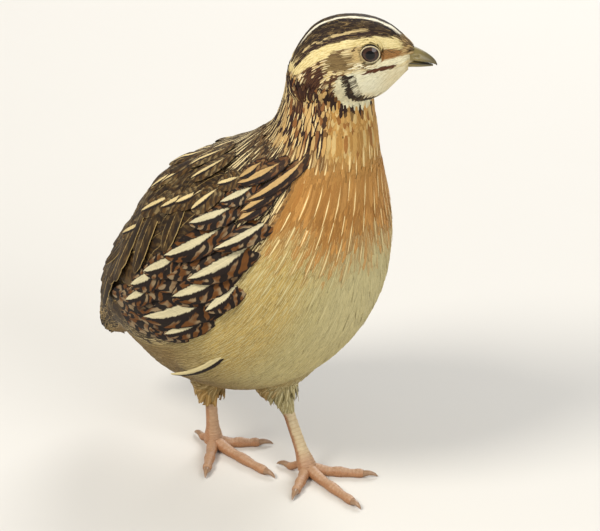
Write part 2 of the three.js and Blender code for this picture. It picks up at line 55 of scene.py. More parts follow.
# The frame's outline tables.
# Body stations from the tail tip to the top of the neck: x, y, z, half depth, half width.
BODY = np.array([
    (-51, 0, 27, 2.5, 6.5),
    (-46.5, 0, 33, 6.5, 10.5),
    (-40, 0, 39.5, 13.5, 15.5),
    (-30.5, 0, 44.5, 21.5, 22),
    (-19, 0, 49, 29, 27.5),
    (-6.5, 0, 56, 33, 30.5),
    (5, 0, 67, 32.5, 30.5),
    (13.2, 0, 79.5, 27.5, 27),
    (18.8, 0.5, 91.5, 20.5, 21),
    (22, 1.5, 102, 15.2, 15.2),
    (23.3, 2, 113, 12.2, 12.2),
    (24.2, 1.5, 124, 10.8, 10.8),
], float)
NECK_TOP = len(BODY) - 1
TAIL_TIP_STEP = 8
NEAR = 0.02
# Head stations in the head's own frame, x forward from the eye axis: x, z, half height, half width.
HEAD = np.array([
    (-20.5, -10.5, 3.5, 3.5),
    (-18, -8.2, 7.4, 6.6),
    (-14, -5.9, 10.4, 8.2),
    (-9.5, -4.8, 11.5, 8.8),
    (-5, -4.5, 11.8, 8.9),
    (-0.5, -4.5, 11.4, 8.3),
    (3.5, -4.2, 9.7, 7),
    (6.6, -3.7, 7.2, 5.5),
    (9.2, -3.6, 4.7, 4),
    (11.2, -3.8, 2.8, 2.7),
    (12.3, -4, 1.3, 1.5),
], float)
EYE_AXIS = np.array([35.3, 4.5, 132.8])
EYE_X, EYE_SPAN, EYE_RADIUS = 0.2, 4.8, 3.6
EYE_PLACE = (-0.1, -0.5)
LID_RADIUS = 2.33
HEAD_TURN = math.radians(42)
SIDES = (("left", 1), ("right", -1))


def unit(v):
    return v / np.maximum(np.linalg.norm(v, axis=-1, keepdims=True), 1e-9)


def spline(table, t):
    """Catmull-Rom curve through the rows of a table, read at station numbers t."""
    last = len(table) - 1
    t = np.clip(np.asarray(t, float), 0, last)
    i = np.minimum(np.floor(t).astype(int), last - 1)
    w = (t - i)[..., None]
    p0, p1 = table[np.maximum(i - 1, 0)], table[i]
    p2, p3 = table[i + 1], table[np.minimum(i + 2, last)]
    v0, v1 = (p2 - p0) / 2, (p3 - p1) / 2
    return (2 * p1 - 2 * p2 + v0 + v1) * w**3 + (3 * p2 - 3 * p1 - 2 * v0 - v1) * w**2 + v0 * w + p1


def smooth(low, high, x):
    w = np.clip((x - low) / (high - low), 0, 1)
    return w * w * (3 - 2 * w)


def between(low, high, soft, x):
    return smooth(low - soft, low + soft, x) * (1 - smooth(high - soft, high + soft, x))


def body_section(t):
    """Centre, directions and half sizes of the body at stations t."""
    row = spline(BODY, t)
    near = np.clip(t, NEAR, NECK_TOP - NEAR)
    along = unit(spline(BODY, near + NEAR)[..., :3] - spline(BODY, near - NEAR)[..., :3])
    side = unit(np.array([0.0, 1, 0]) - along * along[..., 1:2])
    back = np.cross(along, side)
    centre = row[..., :3] + along * (np.minimum(t, 0) * TAIL_TIP_STEP)[..., None]
    return centre, along, side, back, row[..., 3], row[..., 4]


def body_point(t, angle):
    """Points on the body at stations t and angles round it, 0 on the back and 90 on the left side."""
    t, angle = np.broadcast_arrays(np.asarray(t, float), np.asarray(angle, float))
    centre, _, side, back, deep, wide = body_section(t)
    a = np.radians(angle)
    return centre + back * (deep * np.cos(a))[..., None] + side * (wide * np.sin(a))[..., None]


def body_normal(t, angle):
    along = body_point(t + 0.05, angle) - body_point(t - 0.05, angle)
    round_ = body_point(t, angle + 2) - body_point(t, angle - 2)
    return unit(np.cross(along, round_))


TURN = np.array([
    [math.cos(HEAD_TURN), -math.sin(HEAD_TURN), 0],
    [math.sin(HEAD_TURN), math.cos(HEAD_TURN), 0],
    [0, 0, 1],
])


def in_head(q):
    return np.asarray(q, float) @ TURN.T + EYE_AXIS


def to_head(p):
    return (p - EYE_AXIS) @ TURN


def on_eye(local, side):
    """Points round the middle of one eyeball, placed in the head."""
    return in_head(local + [EYE_PLACE[0], side * EYE_SPAN, EYE_PLACE[1]]).reshape(-1, 3)


def from_eye(q):
    """Steps from the eye to places in the head's frame, seen from the side."""
    return np.stack([q[:, 0] - EYE_PLACE[0], q[:, 2] - EYE_PLACE[1]], -1)


eye_middle = sum(np.array(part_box("eye_" + name)).mean(0) for name, _ in SIDES) / 2 / MM
SHIFT = eye_middle - in_head([EYE_X, 0, 0])

# Camera at the photograph's own angle, level with it by the feet.
PIXELS_PER_MM = 3.65
VIEW_TURN, VIEW_RISE = math.radians(42), math.radians(25)
VIEW_DISTANCE = 1500.0
SENSOR = 36.0
PHOTO_WIDE, PHOTO_MID = 600, (300.0, 265.5)
FEET_PIXEL = (260.0, 460.5)


def add_object(name, data):
    item = bpy.data.objects.new(name, data)
    bpy.context.scene.collection.objects.link(item)
    return item


def add_camera():
    back = Vector((
        math.sin(VIEW_TURN) * math.cos(VIEW_RISE),
        -math.cos(VIEW_TURN) * math.cos(VIEW_RISE),
        math.sin(VIEW_RISE),
    ))
    right = Vector((math.cos(VIEW_TURN), math.sin(VIEW_TURN), 0))
    target = Vector(SHIFT)
    target += right * ((PHOTO_MID[0] - FEET_PIXEL[0]) / PIXELS_PER_MM)
    target += back.cross(right) * ((FEET_PIXEL[1] - PHOTO_MID[1]) / PIXELS_PER_MM)
    data = bpy.data.cameras.new("camera")
    data.sensor_width = SENSOR
    data.lens = SENSOR * VIEW_DISTANCE * PIXELS_PER_MM / PHOTO_WIDE
    data.clip_start = 0.05
    camera = add_object("camera", data)
    camera.location = (target + back * VIEW_DISTANCE) * MM
    camera.rotation_euler = back.to_track_quat("Z", "Y").to_euler()
    bpy.context.scene.camera = camera


add_camera()


def linear(code):
    """Linear colour of an sRGB code such as c9a468. Anything else stays as it is."""
    if not isinstance(code, str):
        return code
    value = np.array([int(code[i : i + 2], 16) for i in (0, 2, 4)]) / 255
    return np.where(value <= 0.04045, value / 12.92, ((value + 0.055) / 1.055) ** 2.4)


class Value:
    """A number or colour inside a shader. Sums on it add the shader's own maths nodes."""

    def __init__(self, shader, socket):
        self.shader, self.socket = shader, socket

    def __add__(self, other):
        return self.shader.maths("ADD", self, other)

    def __sub__(self, other):
        return self.shader.maths("SUBTRACT", self, other)

    def __rsub__(self, other):
        return self.shader.maths("SUBTRACT", other, self)

    def __mul__(self, other):
        return self.shader.maths("MULTIPLY", self, other)

    def __abs__(self):
        return self.shader.maths("ABSOLUTE", self)


class Shader:
    """A material in the making: each call adds one node and gives its output."""

    def __init__(self, name):
        self.material = bpy.data.materials.new(name)
        self.material.use_nodes = True
        self.tree = self.material.node_tree
        self.surface = self.tree.nodes["Principled BSDF"]

    def feed(self, socket, value):
        value = linear(value)
        if isinstance(value, Value):
            self.tree.links.new(value.socket, socket)
        elif isinstance(value, tuple) and isinstance(value[0], Value):
            joined = self.node("ShaderNodeCombineXYZ", dict(enumerate(value)))
            self.tree.links.new(joined.outputs[0], socket)
        elif value is not None:
            socket.default_value = (*value, 1.0) if isinstance(value, np.ndarray) else value

    def node(self, kind, inputs, **options):
        node = self.tree.nodes.new(kind)
        for key, value in options.items():
            setattr(node, key, value)
        for key, value in inputs.items():
            self.feed(node.inputs[key], value)
        return node

    def value(self, kind, inputs, output=0, **options):
        return Value(self, self.node(kind, inputs, **options).outputs[output])

    def maths(self, operation, a, b=None):
        return self.value("ShaderNodeMath", {0: a, 1: b}, operation=operation)

    def step(self, low, high, x):
        inputs = {"Value": x, "From Min": low, "From Max": high}
        return self.value("ShaderNodeMapRange", inputs, interpolation_type="SMOOTHSTEP")

    def mix(self, share, a, b, blend="MIX"):
        return self.value("ShaderNodeMix", {0: share, 6: a, 7: b}, 2, data_type="RGBA", blend_type=blend)

    def vector(self, name):
        """The three numbers of a vector that a mesh carries."""
        whole = self.value("ShaderNodeAttribute", {}, "Vector", attribute_name=name)
        return [Value(self, out) for out in self.node("ShaderNodeSeparateXYZ", {0: whole}).outputs]

    def colour(self, name):
        """A colour that a mesh carries, and the number beside it."""
        node = self.node("ShaderNodeAttribute", {}, attribute_name=name)
        return Value(self, node.outputs["Color"]), Value(self, node.outputs["Alpha"])

    def noise(self, vector, scale, detail=2.0, rough=0.5):
        inputs = {"Vector": vector, "Scale": scale, "Detail": detail, "Roughness": rough}
        return self.value("ShaderNodeTexNoise", inputs)

    def place(self, scale=1.0):
        spot = self.value("ShaderNodeTexCoord", {}, "Object")
        return self.value("ShaderNodeVectorMath", {0: spot, 1: (scale,) * 3}, operation="MULTIPLY")

    def finish(self, colour, roughness, bump=None, strength=0.3, distance=0.0002, **fixed):
        self.feed(self.surface.inputs["Base Color"], colour)
        self.feed(self.surface.inputs["Roughness"], roughness)
        for key, value in fixed.items():
            self.surface.inputs[key.replace("_", " ")].default_value = value
        if bump is not None:
            inputs = {"Strength": strength, "Distance": distance, "Height": bump}
            self.feed(self.surface.inputs["Normal"], self.value("ShaderNodeBump", inputs))
        return self.material


def feather_material(name):
    """Every feather's own pattern: shaft stripe with its border, cross bars, edge and fine barbs.

    The pattern is drawn across and along each vane, from numbers that its points carry."""
    s = Shader(name)
    across, along, seed = s.vector("vane")
    count, phase, start = s.vector("pattern")
    blotch, web, tip = s.vector("web")
    (ground, clear), (mark, stripe) = s.colour("ground"), s.colour("mark")
    (rim, border), (bar, barred) = s.colour("rim"), s.colour("bar")
    off = abs(across)
    upper = s.maths("SIGN", web)
    # Barbs sweep from the shaft out towards the tip, so anything drawn along them leans that way.
    sweep = along - off * 0.16
    grain = s.noise((across * 0.6, sweep * 9.0, seed), 3.0, 3.0)
    barb = s.noise((across * 0.8, sweep * 36.0, seed), 1.6)
    wobble = (grain + barb - 1.0) * 0.3
    drift = s.noise((across * 1.1, along * 4.0, seed), 1.5, 1.0)
    wave = s.maths("SINE", sweep * count + phase + drift * 10.0) + wobble * 2.4
    patch = s.noise((across, along * 3.0, seed), 1.3, 1.0)
    patch = s.step(0.5, 0.58, patch + wobble * 0.3) * blotch
    # The sign of web says which half of the vane is the lower one, and its size how dark that half is.
    lower = across * upper
    inner = s.step(-0.1, 0.14, lower + wobble) * abs(web)
    colour = s.mix(s.step(0.45, 0.65, drift) * (barred * 0.3), ground, mark)
    colour = s.mix(s.maths("MAXIMUM", patch, inner), colour, bar)
    colour = s.mix(s.step(-0.25, 0.2, wave) * barred, colour, bar)
    colour = s.mix(s.step(0.84, 0.92, along) * tip, colour, mark)
    # The outer edge and the stripe's border share one colour.
    edge = 1.0 - clear
    colour = s.mix(s.step(edge, edge + 0.12, off + wobble * 0.25), colour, rim)
    # The stripe grows like a drop from its start, and its border is broader on the lower side.
    worn = s.step(start, start + 0.5, along) * (1.0 - s.step(0.88, 1.04, along))
    half = stripe * worn
    place = abs(across + upper * 0.12) + wobble * 0.55
    outer = half + s.maths("MAXIMUM", border * (lower * 1.4 + 1.0), 0.0) * worn
    for reach, tone in ((outer, rim), (half, mark)):
        drawn = 1.0 - s.step(reach - 0.05, reach + 0.05, place)
        colour = s.mix(drawn * s.step(0.0, 0.04, reach), colour, tone)
    strand = s.noise((across * 2.2, along * 1.6, seed), 2.2, 3.0, 0.65)
    shade = strand * 0.9 + barb * 0.35 + 0.34
    colour = s.mix(1.0, colour, (shade, shade, shade), "MULTIPLY")
    bump = s.maths("SINE", sweep * 90.0) * 0.25 + grain
    return s.finish(colour, 0.66, bump, 0.35, 0.00012, Specular_IOR_Level=0.2)


def add_layers(mesh, data):
    """Numbers that the points of a mesh carry: three of them as a vector, four as a colour."""
    for key, values in data.items():
        kind, field = ("FLOAT_COLOR", "color") if values.shape[-1] == 4 else ("FLOAT_VECTOR", "vector")
        layer = mesh.attributes.new(key, kind, "POINT")
        layer.data.foreach_set(field, values.astype(np.float32).ravel())


def write_mesh(name, points, faces, material, uv=None, **data):
    """A mesh object from points in millimetres and faces that all have the same number of corners."""
    mesh = bpy.data.meshes.new(name)
    faces = np.asarray(faces, np.int32)
    mesh.vertices.add(len(points))
    mesh.vertices.foreach_set("co", ((points + SHIFT) * MM).astype(np.float32).ravel())
    mesh.loops.add(faces.size)
    mesh.loops.foreach_set("vertex_index", faces.ravel())
    mesh.polygons.add(len(faces))
    mesh.polygons.foreach_set("loop_start", np.arange(0, faces.size, faces.shape[1], dtype=np.int32))
    add_layers(mesh, data)
    if uv is not None:
        layer = mesh.uv_layers.new(name="OFBake")
        layer.data.foreach_set("uv", uv[faces.ravel()].astype(np.float32).ravel())
    mesh.update(calc_edges=True)
    mesh.polygons.foreach_set("use_smooth", np.ones(len(faces), bool))
    mesh.materials.append(material)
    return add_object(name, mesh)


def settle(piece, slot, *replaced):
    """Says what a piece rides on and which nodes of the frame it replaces. Its slot is not used."""
    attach(piece, "root")
    if replaced:
        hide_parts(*replaced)


def ring_faces(rings, sides):
    """Triangles of a closed tube of rings, with a flat fan at both ends."""
    k, j = np.meshgrid(np.arange(rings - 1), np.arange(sides), indexing="ij")
    a, b = k * sides + j, k * sides + (j + 1) % sides
    c, d = a + sides, b + sides
    walls = np.concatenate([np.stack([a, b, d], -1).reshape(-1, 3), np.stack([a, d, c], -1).reshape(-1, 3)])
    fan = np.array([(0, i + 1, i) for i in range(1, sides - 1)])
    end = (rings - 1) * sides + fan[:, [0, 2, 1]]
    return np.concatenate([walls, fan, end])


def rings(centre, one, other, first, second):
    """Rings of points: each row's centre with steps first and second along its two directions."""
    return centre[:, None] + one[:, None] * first[..., None] + other[:, None] * second[..., None]


def head_rings(x, z, tall, wide):
    """The same in the head's frame, across its x axis. tall and wide are steps up and to the left."""
    return np.stack([np.broadcast_to(x[:, None], wide.shape), wide, z[:, None] + tall], -1)


def ball_angles(count, sides, edge):
    """Angles from the pole and round it, of a ball that is open by edge at both poles."""
    return np.meshgrid(np.linspace(edge, np.pi - edge, count), around(sides), indexing="ij")


def around(sides, first=0.0):
    return 2 * np.pi * (np.arange(sides) + first) / sides


# Legs: foot in x and y, steps from it to the ankle, knee, how far up the shank the cuff of feathers
# sits, how pale the plates are, depth of the coat on the low thigh, and the headings of the toes.
LEGS = {
    "left": dict(foot=(15, 2.5), ankle=(-14, 2.5, 22.9), knee=(9, 9, 48),
                 cuff=0.66, pale=1.0, depth=1.3, toes=dict(inner=-62, middle=-14, outer=36, hind=-172)),
    "right": dict(foot=(-15, -2.5), ankle=(1.5, -3.5, 25.5), knee=(-3, -14, 44),
                  # The right leg's plates are drawn far less pale, as painted shade on that leg.
                  cuff=0.58, pale=0.15, depth=1.5, toes=dict(inner=46, middle=-7, outer=-54, hind=165)),
}
HUB_HEIGHT, HUB_RADIUS = 2.6, 2.7
SHANK_RADIUS, TOE_RADIUS = 1.6, 1.3
TOE_LENGTHS = dict(inner=12.5, middle=22, outer=15.5, hind=6)
CLAW_LENGTH = 3.7


def shank_at(leg, share, r):
    (fx, fy), (ax, ay, az) = leg["foot"], leg["ankle"]
    return (fx + ax * share, fy + ay * share, HUB_HEIGHT + az * share, r)


def to_knee(leg, share, r):
    ankle = np.array(shank_at(leg, 1, 0)[:3])
    return (*(ankle + (np.array(leg["knee"]) - ankle) * share), r)


def tube(stations, sides, slices, shape=None, on_floor=False):
    """Round loft along stations of x, y, z, radius. shape(share, turn) scales its radius."""
    table = np.array(stations, float)
    t = np.linspace(0, len(table) - 1, slices + 1)
    row = spline(table, t)
    along = unit(spline(table, t + 0.05)[:, :3] - spline(table, t - 0.05)[:, :3])
    level = np.where(np.abs(along[:, 2:3]) < 0.9, [[0.0, 0, 1]], [[1.0, 0, 0]])
    across = unit(np.cross(along, level))
    a = around(sides, 0.5)
    radius = np.broadcast_to(row[:, 3:], (len(t), sides))
    if shape is not None:
        radius = radius * shape(np.linspace(0, 1, slices + 1)[:, None], a[None, :])
    points = rings(row[:, :3], across, np.cross(across, along), radius * np.sin(a), radius * np.cos(a))
    if on_floor:
        points[..., 2] = np.maximum(points[..., 2], 0)
    return points.reshape(-1, 3), ring_faces(len(t), sides)


def stacked(parts):
    """Several (points, faces) meshes as one."""
    starts = np.cumsum([0] + [len(points) for points, _ in parts])
    faces = [part[1] + start for part, start in zip(parts, starts)]
    return np.concatenate([points for points, _ in parts]), np.concatenate(faces)


# The skin: the outline of body, head and thighs, drawn in by the depth of the coat.
FACE_COAT = 0.75
THIGH_COAT = 1.2
NECK_DOME = 7.5
SOCKET_RADIUS = 3.4
SKIN_VOXEL = 0.8
BODY_RINGS, BODY_SIDES = 110, 48


def body_skin():
    # A dome closes the neck under the head, so that no rim stands out behind it.
    dome = np.radians(np.linspace(9, 81, 9))
    t = np.concatenate([np.linspace(0.25, NECK_TOP, BODY_RINGS), np.full(len(dome), float(NECK_TOP))])
    rise = np.concatenate([np.zeros(BODY_RINGS), dome])
    a = np.radians(np.linspace(0, 360, BODY_SIDES, endpoint=False))
    centre, along, side, back, deep, wide = body_section(t)
    centre = centre + along * (NECK_DOME * np.sin(rise))[:, None]
    coat = np.interp(t, [0, 2, 3.5, 6, 8, 9.5, 11], [0.8, 1.3, 2.0, 2.2, 2.0, 1.5, 1.0])
    deep, wide = (deep - coat) * np.cos(rise), (wide - coat) * np.cos(rise)
    points = rings(centre, back, side, deep[:, None] * np.cos(a), wide[:, None] * np.sin(a))
    return points.reshape(-1, 3), ring_faces(len(t), len(a))


def head_skin():
    a = around(40)
    x, z, tall, wide = spline(HEAD, np.linspace(0, len(HEAD) - 1, 60)).T
    tall, wide = (tall - FACE_COAT)[:, None] * np.cos(a), (wide - FACE_COAT)[:, None] * np.sin(a)
    return in_head(head_rings(x, z, tall, wide)).reshape(-1, 3), ring_faces(len(x), len(a))


def socket_skin(side):
    """The skin bulges over each eyeball, so that the lids sit close on it."""
    p, a = ball_angles(20, 28, 0.05)
    local = np.stack([np.sin(p) * np.cos(a), np.sin(p) * np.sin(a), -np.cos(p)], -1) * SOCKET_RADIUS
    return on_eye(local, side), ring_faces(*p.shape)


def thigh_skin(leg):
    cuff, depth = leg["cuff"], leg["depth"]
    return tube([
        shank_at(leg, cuff - 0.15, SHANK_RADIUS - 0.6),
        shank_at(leg, cuff + 0.02, SHANK_RADIUS + 0.5),
        shank_at(leg, cuff + 0.15, SHANK_RADIUS + 2.6 - depth),
        to_knee(leg, 0, 6.3 - depth),
        to_knee(leg, 0.45, 10 - depth),
        to_knee(leg, 0.85, 12.5 - THIGH_COAT),
        to_knee(leg, 1.1, 12 - THIGH_COAT),
    ], 28, 40)


def build_skin(material):
    sockets = [socket_skin(side) for _, side in SIDES]
    thighs = [thigh_skin(leg) for leg in LEGS.values()]
    piece = write_mesh("skin", *stacked([body_skin(), head_skin(), *sockets, *thighs]), material)
    remesh = piece.modifiers.new("remesh", "REMESH")
    remesh.mode = "VOXEL"
    remesh.voxel_size = SKIN_VOXEL * MM
    remesh.use_smooth_shade = True
    relax = piece.modifiers.new("relax", "SMOOTH")
    relax.factor = 0.5
    relax.iterations = 8
    depsgraph = bpy.context.evaluated_depsgraph_get()
    mesh = bpy.data.meshes.new_from_object(piece.evaluated_get(depsgraph))
    piece.modifiers.clear()
    old = piece.data
    piece.data = mesh
    mesh.name = old.name
    bpy.data.meshes.remove(old)
    return piece


feathers = feather_material("feathers")
skin = build_skin(feathers)


class Surface:
    """Nearest points and smooth normals of the skin, in millimetres."""

    def __init__(self, mesh):
        mesh.calc_loop_triangles()
        self.points = np.empty(len(mesh.vertices) * 3, np.float32)
        mesh.vertices.foreach_get("co", self.points)
        self.points = self.points.reshape(-1, 3) / MM - SHIFT
        self.triangles = np.empty(len(mesh.loop_triangles) * 3, np.int32)
        mesh.loop_triangles.foreach_get("vertices", self.triangles)
        self.triangles = self.triangles.reshape(-1, 3)
        a, b, c = (self.points[corner] for corner in self.triangles.T)
        cross = np.cross(b - a, c - a)
        self.areas = np.linalg.norm(cross, axis=1) / 2
        normals = np.zeros_like(self.points)
        for corner in self.triangles.T:
            np.add.at(normals, corner, cross)
        self.normals = unit(normals)
        self.tree = BVHTree.FromPolygons(self.points.tolist(), self.triangles.tolist())

    def nearest(self, points):
        spots, normals = np.empty_like(points), np.empty_like(points)
        for i, p in enumerate(points.tolist()):
            spots[i], _, face, _ = self.tree.find_nearest(p)
            normals[i] = self.normals[self.triangles[face]].sum(0)
        return spots, unit(normals)

    def scatter(self, count):
        """Random points spread evenly over the skin."""
        pick = rng.choice(len(self.triangles), count, p=self.areas / self.areas.sum())
        u, v = rng.random((2, count))
        over = u + v > 1
        u, v = np.where(over, 1 - u, u), np.where(over, 1 - v, v)
        a, b, c = (self.points[corner] for corner in self.triangles[pick].T)
        return a + (b - a) * u[:, None] + (c - a) * v[:, None]


surface = Surface(skin.data)
STATIONS = np.linspace(0, NECK_TOP, 221)
SECTIONS = body_section(STATIONS)
BLOCK = 4000


def locate(points):
    """Body station and angle of each point."""
    centre, along, side, back, deep, wide = SECTIONS
    t, angle = np.empty(len(points)), np.empty(len(points))
    for start in range(0, len(points), BLOCK):
        off = points[start : start + BLOCK, None] - centre
        ahead = np.einsum("nij,ij->ni", off, along)
        up = np.einsum("nij,ij->ni", off, back) / deep
        out = np.einsum("nij,ij->ni", off, side) / wide
        best = (ahead**2 + (4 * (np.hypot(up, out) - 0.93)) ** 2).argmin(1)
        row = np.arange(len(off))
        t[start : start + BLOCK] = STATIONS[best]
        angle[start : start + BLOCK] = np.degrees(np.arctan2(out[row, best], up[row, best]))
    return t, angle


# The plane that parts the head from the neck, through the chin and the nape.
CHIN, NAPE = in_head([3.5, 0, -13.2]), in_head([-21, 0, -8])
HEAD_UP = unit(np.cross(CHIN - NAPE, in_head([0, 1, 0]) - in_head([0, 0, 0])))
HEAD_UP = HEAD_UP * np.sign(HEAD_UP[2])


def above_chin(points, soft):
    """How far each point is in the head, from 0 to 1 across a band of the plane's both sides."""
    return smooth(-soft, soft, (points - CHIN) @ HEAD_UP)


def thigh_share(points, t):
    """How far each point is on a thigh, outside the body's own outline."""
    centre, _, side, back, deep, wide = body_section(t)
    off = points - centre
    outside = np.hypot((off * back).sum(-1) / deep, (off * side).sum(-1) / wide)
    return smooth(0.98, 1.12, outside) * smooth(52, 44, points[:, 2]) * between(-28, 30, 3, points[:, 0])


def thigh_way(points):
    ways = {name: unit(np.array(shank_at(leg, 0.5, 0)[:3]) - leg["knee"]) for name, leg in LEGS.items()}
    return np.where(points[:, 1:2] > 0, ways["left"], ways["right"])


def flow(points, normals, t, angle):
    """Direction in which the coat lies: from the bill over the head, down the neck and towards the tail."""
    _, along, _, _, _, _ = body_section(t)
    round_ = unit(body_point(t, angle + 2) - body_point(t, angle - 2))
    bend = np.where(np.abs(angle) > 90, -0.1, 0.0) * np.sign(angle) * smooth(9, 7, t)
    way = -along + round_ * bend[:, None]
    q = to_head(points)
    over = above_chin(points, 5)
    eye = from_eye(q)
    far = np.linalg.norm(eye, axis=1)
    out = eye / np.maximum(far, 1e-6)[:, None]
    fall = 0.15 + 0.5 * smooth(-2, -12, q[:, 2]) + 0.5 * smooth(-8, -16, q[:, 0])
    rise = 0.55 * smooth(3, 8, q[:, 0]) * smooth(-1, 2, q[:, 2])
    face = np.stack([-np.ones(len(q)), np.zeros(len(q)), rise - fall], -1)
    # Round the eye the feathers part, above it and below it.
    inward = face[:, 0] * out[:, 0] + face[:, 2] * out[:, 1]
    push = np.where(inward < 0, -inward, 0) * smooth(4.4, 2.9, far) * (np.abs(q[:, 1]) > 4)
    face[:, 0] += out[:, 0] * push * 1.25
    face[:, 2] += out[:, 1] * push * 1.25
    way = way * (1 - over)[:, None] + (unit(face) @ TURN.T) * over[:, None]
    on_thigh = thigh_share(points, t)[:, None]
    way = way * (1 - on_thigh) + thigh_way(points) * on_thigh
    way -= normals * (way * normals).sum(1, keepdims=True)
    return unit(way)


# Looks of feathers. A style holds one row for each feather: four colours, and beside them the share of
# the vane that its edge, shaft stripe, the stripe's border and its cross bars take.
COLOURS = dict(ground="edge", mark="stripe", rim="border", bar="bars")
CREAM, BUFF, DARK, INK = "ecdcb0", "c7a56b", "2a1b13", "1d120d"
BASE = dict(
    ground=BUFF, mark=CREAM, rim=DARK, bar=DARK, edge=0.0, stripe=0.0, border=0.0, bars=0.0,
    bar_count=18.0, start=0.0, length=5.0, width=2.4, lift=1.2, blotch=0.0, web=0.0, tip=0.0,
)
PLAIN = dict(stripe=0.0, border=0.0, bars=0.0, edge=0.0, blotch=0.0)


class Style:
    def __init__(self, count, **values):
        for key, value in {**BASE, **values}.items():
            shape = (count, 3) if key in COLOURS else (count,)
            setattr(self, key, np.broadcast_to(np.asarray(linear(value), float), shape).copy())

    def blend(self, mask, ground=None, mark=None, **values):
        """Moves the looks towards the given values by each feather's share in the mask."""
        for key, value in dict(ground=ground, mark=mark, **values).items():
            if value is not None:
                row = getattr(self, key)
                row += (mask[:, None] if row.ndim == 2 else mask) * (np.asarray(linear(value), float) - row)

    @staticmethod
    def gather(parts, chosen=slice(None)):
        """The chosen feathers of several styles, as one style."""
        joined = Style(0)
        for key in BASE:
            setattr(joined, key, np.concatenate([getattr(part, key) for part in parts])[chosen])
        return joined


def line_distance(q, stops):
    """Distance of points to a line through stops, and the share along it."""
    best, share = np.full(len(q), 1e9), np.zeros(len(q))
    stops = np.asarray(stops, float)
    for i, (a, b) in enumerate(zip(stops, stops[1:])):
        ab = b - a
        w = np.clip(((q - a) @ ab) / (ab @ ab), 0, 1)
        d = np.linalg.norm(q - a - w[:, None] * ab, axis=1)
        nearer = d < best
        best = np.where(nearer, d, best)
        share = np.where(nearer, (i + w) / (len(stops) - 1), share)
    return best, share


# Marks of the face and neck in the head's own frame, on its right side.
BROW_TOP = (
    (-19.1, -5.2), (-17.5, -2.6), (-15.2, 0.0), (-11, 2.0), (-6.6, 3.2), (-2.2, 3.7), (2.5, 3.5), (6.4, 2.5),
    (9.8, 0.0),
)
BROW_LOW = (
    (-19.1, -7.2), (-17, -4.7), (-14.7, -2.9), (-11.5, -1.1), (-9, 0.8), (-5.3, 1.3), (-2.7, 1.9), (4, 0.6),
    (7.2, -0.3), (9.8, -1.0),
)
MOUSTACHE = ((5.9, -5.8, -4.4), (2.5, -7.4, -4.7), (0.2, -8.2, -5.2), (-1.4, -8.5, -5.3))
COLLAR = (
    (-6.4, -8.7, -6.9), (-5.8, -8.1, -9.5), (-5.3, -6.8, -12.0), (-3.7, -4.8, -14.3), (-1.1, -3.9, -14.7),
    (1.3, -3.2, -13.9), (2.6, 0.0, -13.8),
)
BIB = (
    (-7.6, -8.3, -8.2), (-8.1, -7.1, -10.7), (-6.9, -6.0, -13.6), (-5.6, -4.9, -15.6), (-3.1, -3.1, -17.0),
    (0.0, -0.7, -16.9), (2.0, 0.0, -15.8),
)
NECKLACE = (
    (-11.3, -5.7, -13.6), (-9.9, -5.7, -15.8), (-7.1, -5.3, -17.9), (-4.4, -4.2, -18.9), (-1.8, -2.3, -19.4),
    (0.9, -2.5, -19.4), (1.4, 0.0, -19.4),
)
CROWN_STRIPE_Y = -0.9
# Bold dark streaks down the side of the neck, behind the ear, with half of each one's width.
NECK_STREAKS = (
    (((-16.0, -7.3, -5.2), (-16.7, -7.1, -9.3), (-18.6, -3.4, -15.9), (-20.5, -1.8, -18.7)), 1.0),
    (((-13.2, -8.3, -5.0), (-14.4, -7.8, -9.0), (-16.0, -5.6, -13.7)), 0.9),
    (((-10.4, -8.3, -8.5), (-11.1, -6.8, -12.0), (-9.9, -5.7, -16.0)), 0.55),
    (((-12.4, -6.4, -14.0), (-14.0, -4.6, -18.0)), 0.8),
)


def track(stops, x):
    return np.interp(x, *zip(*stops))


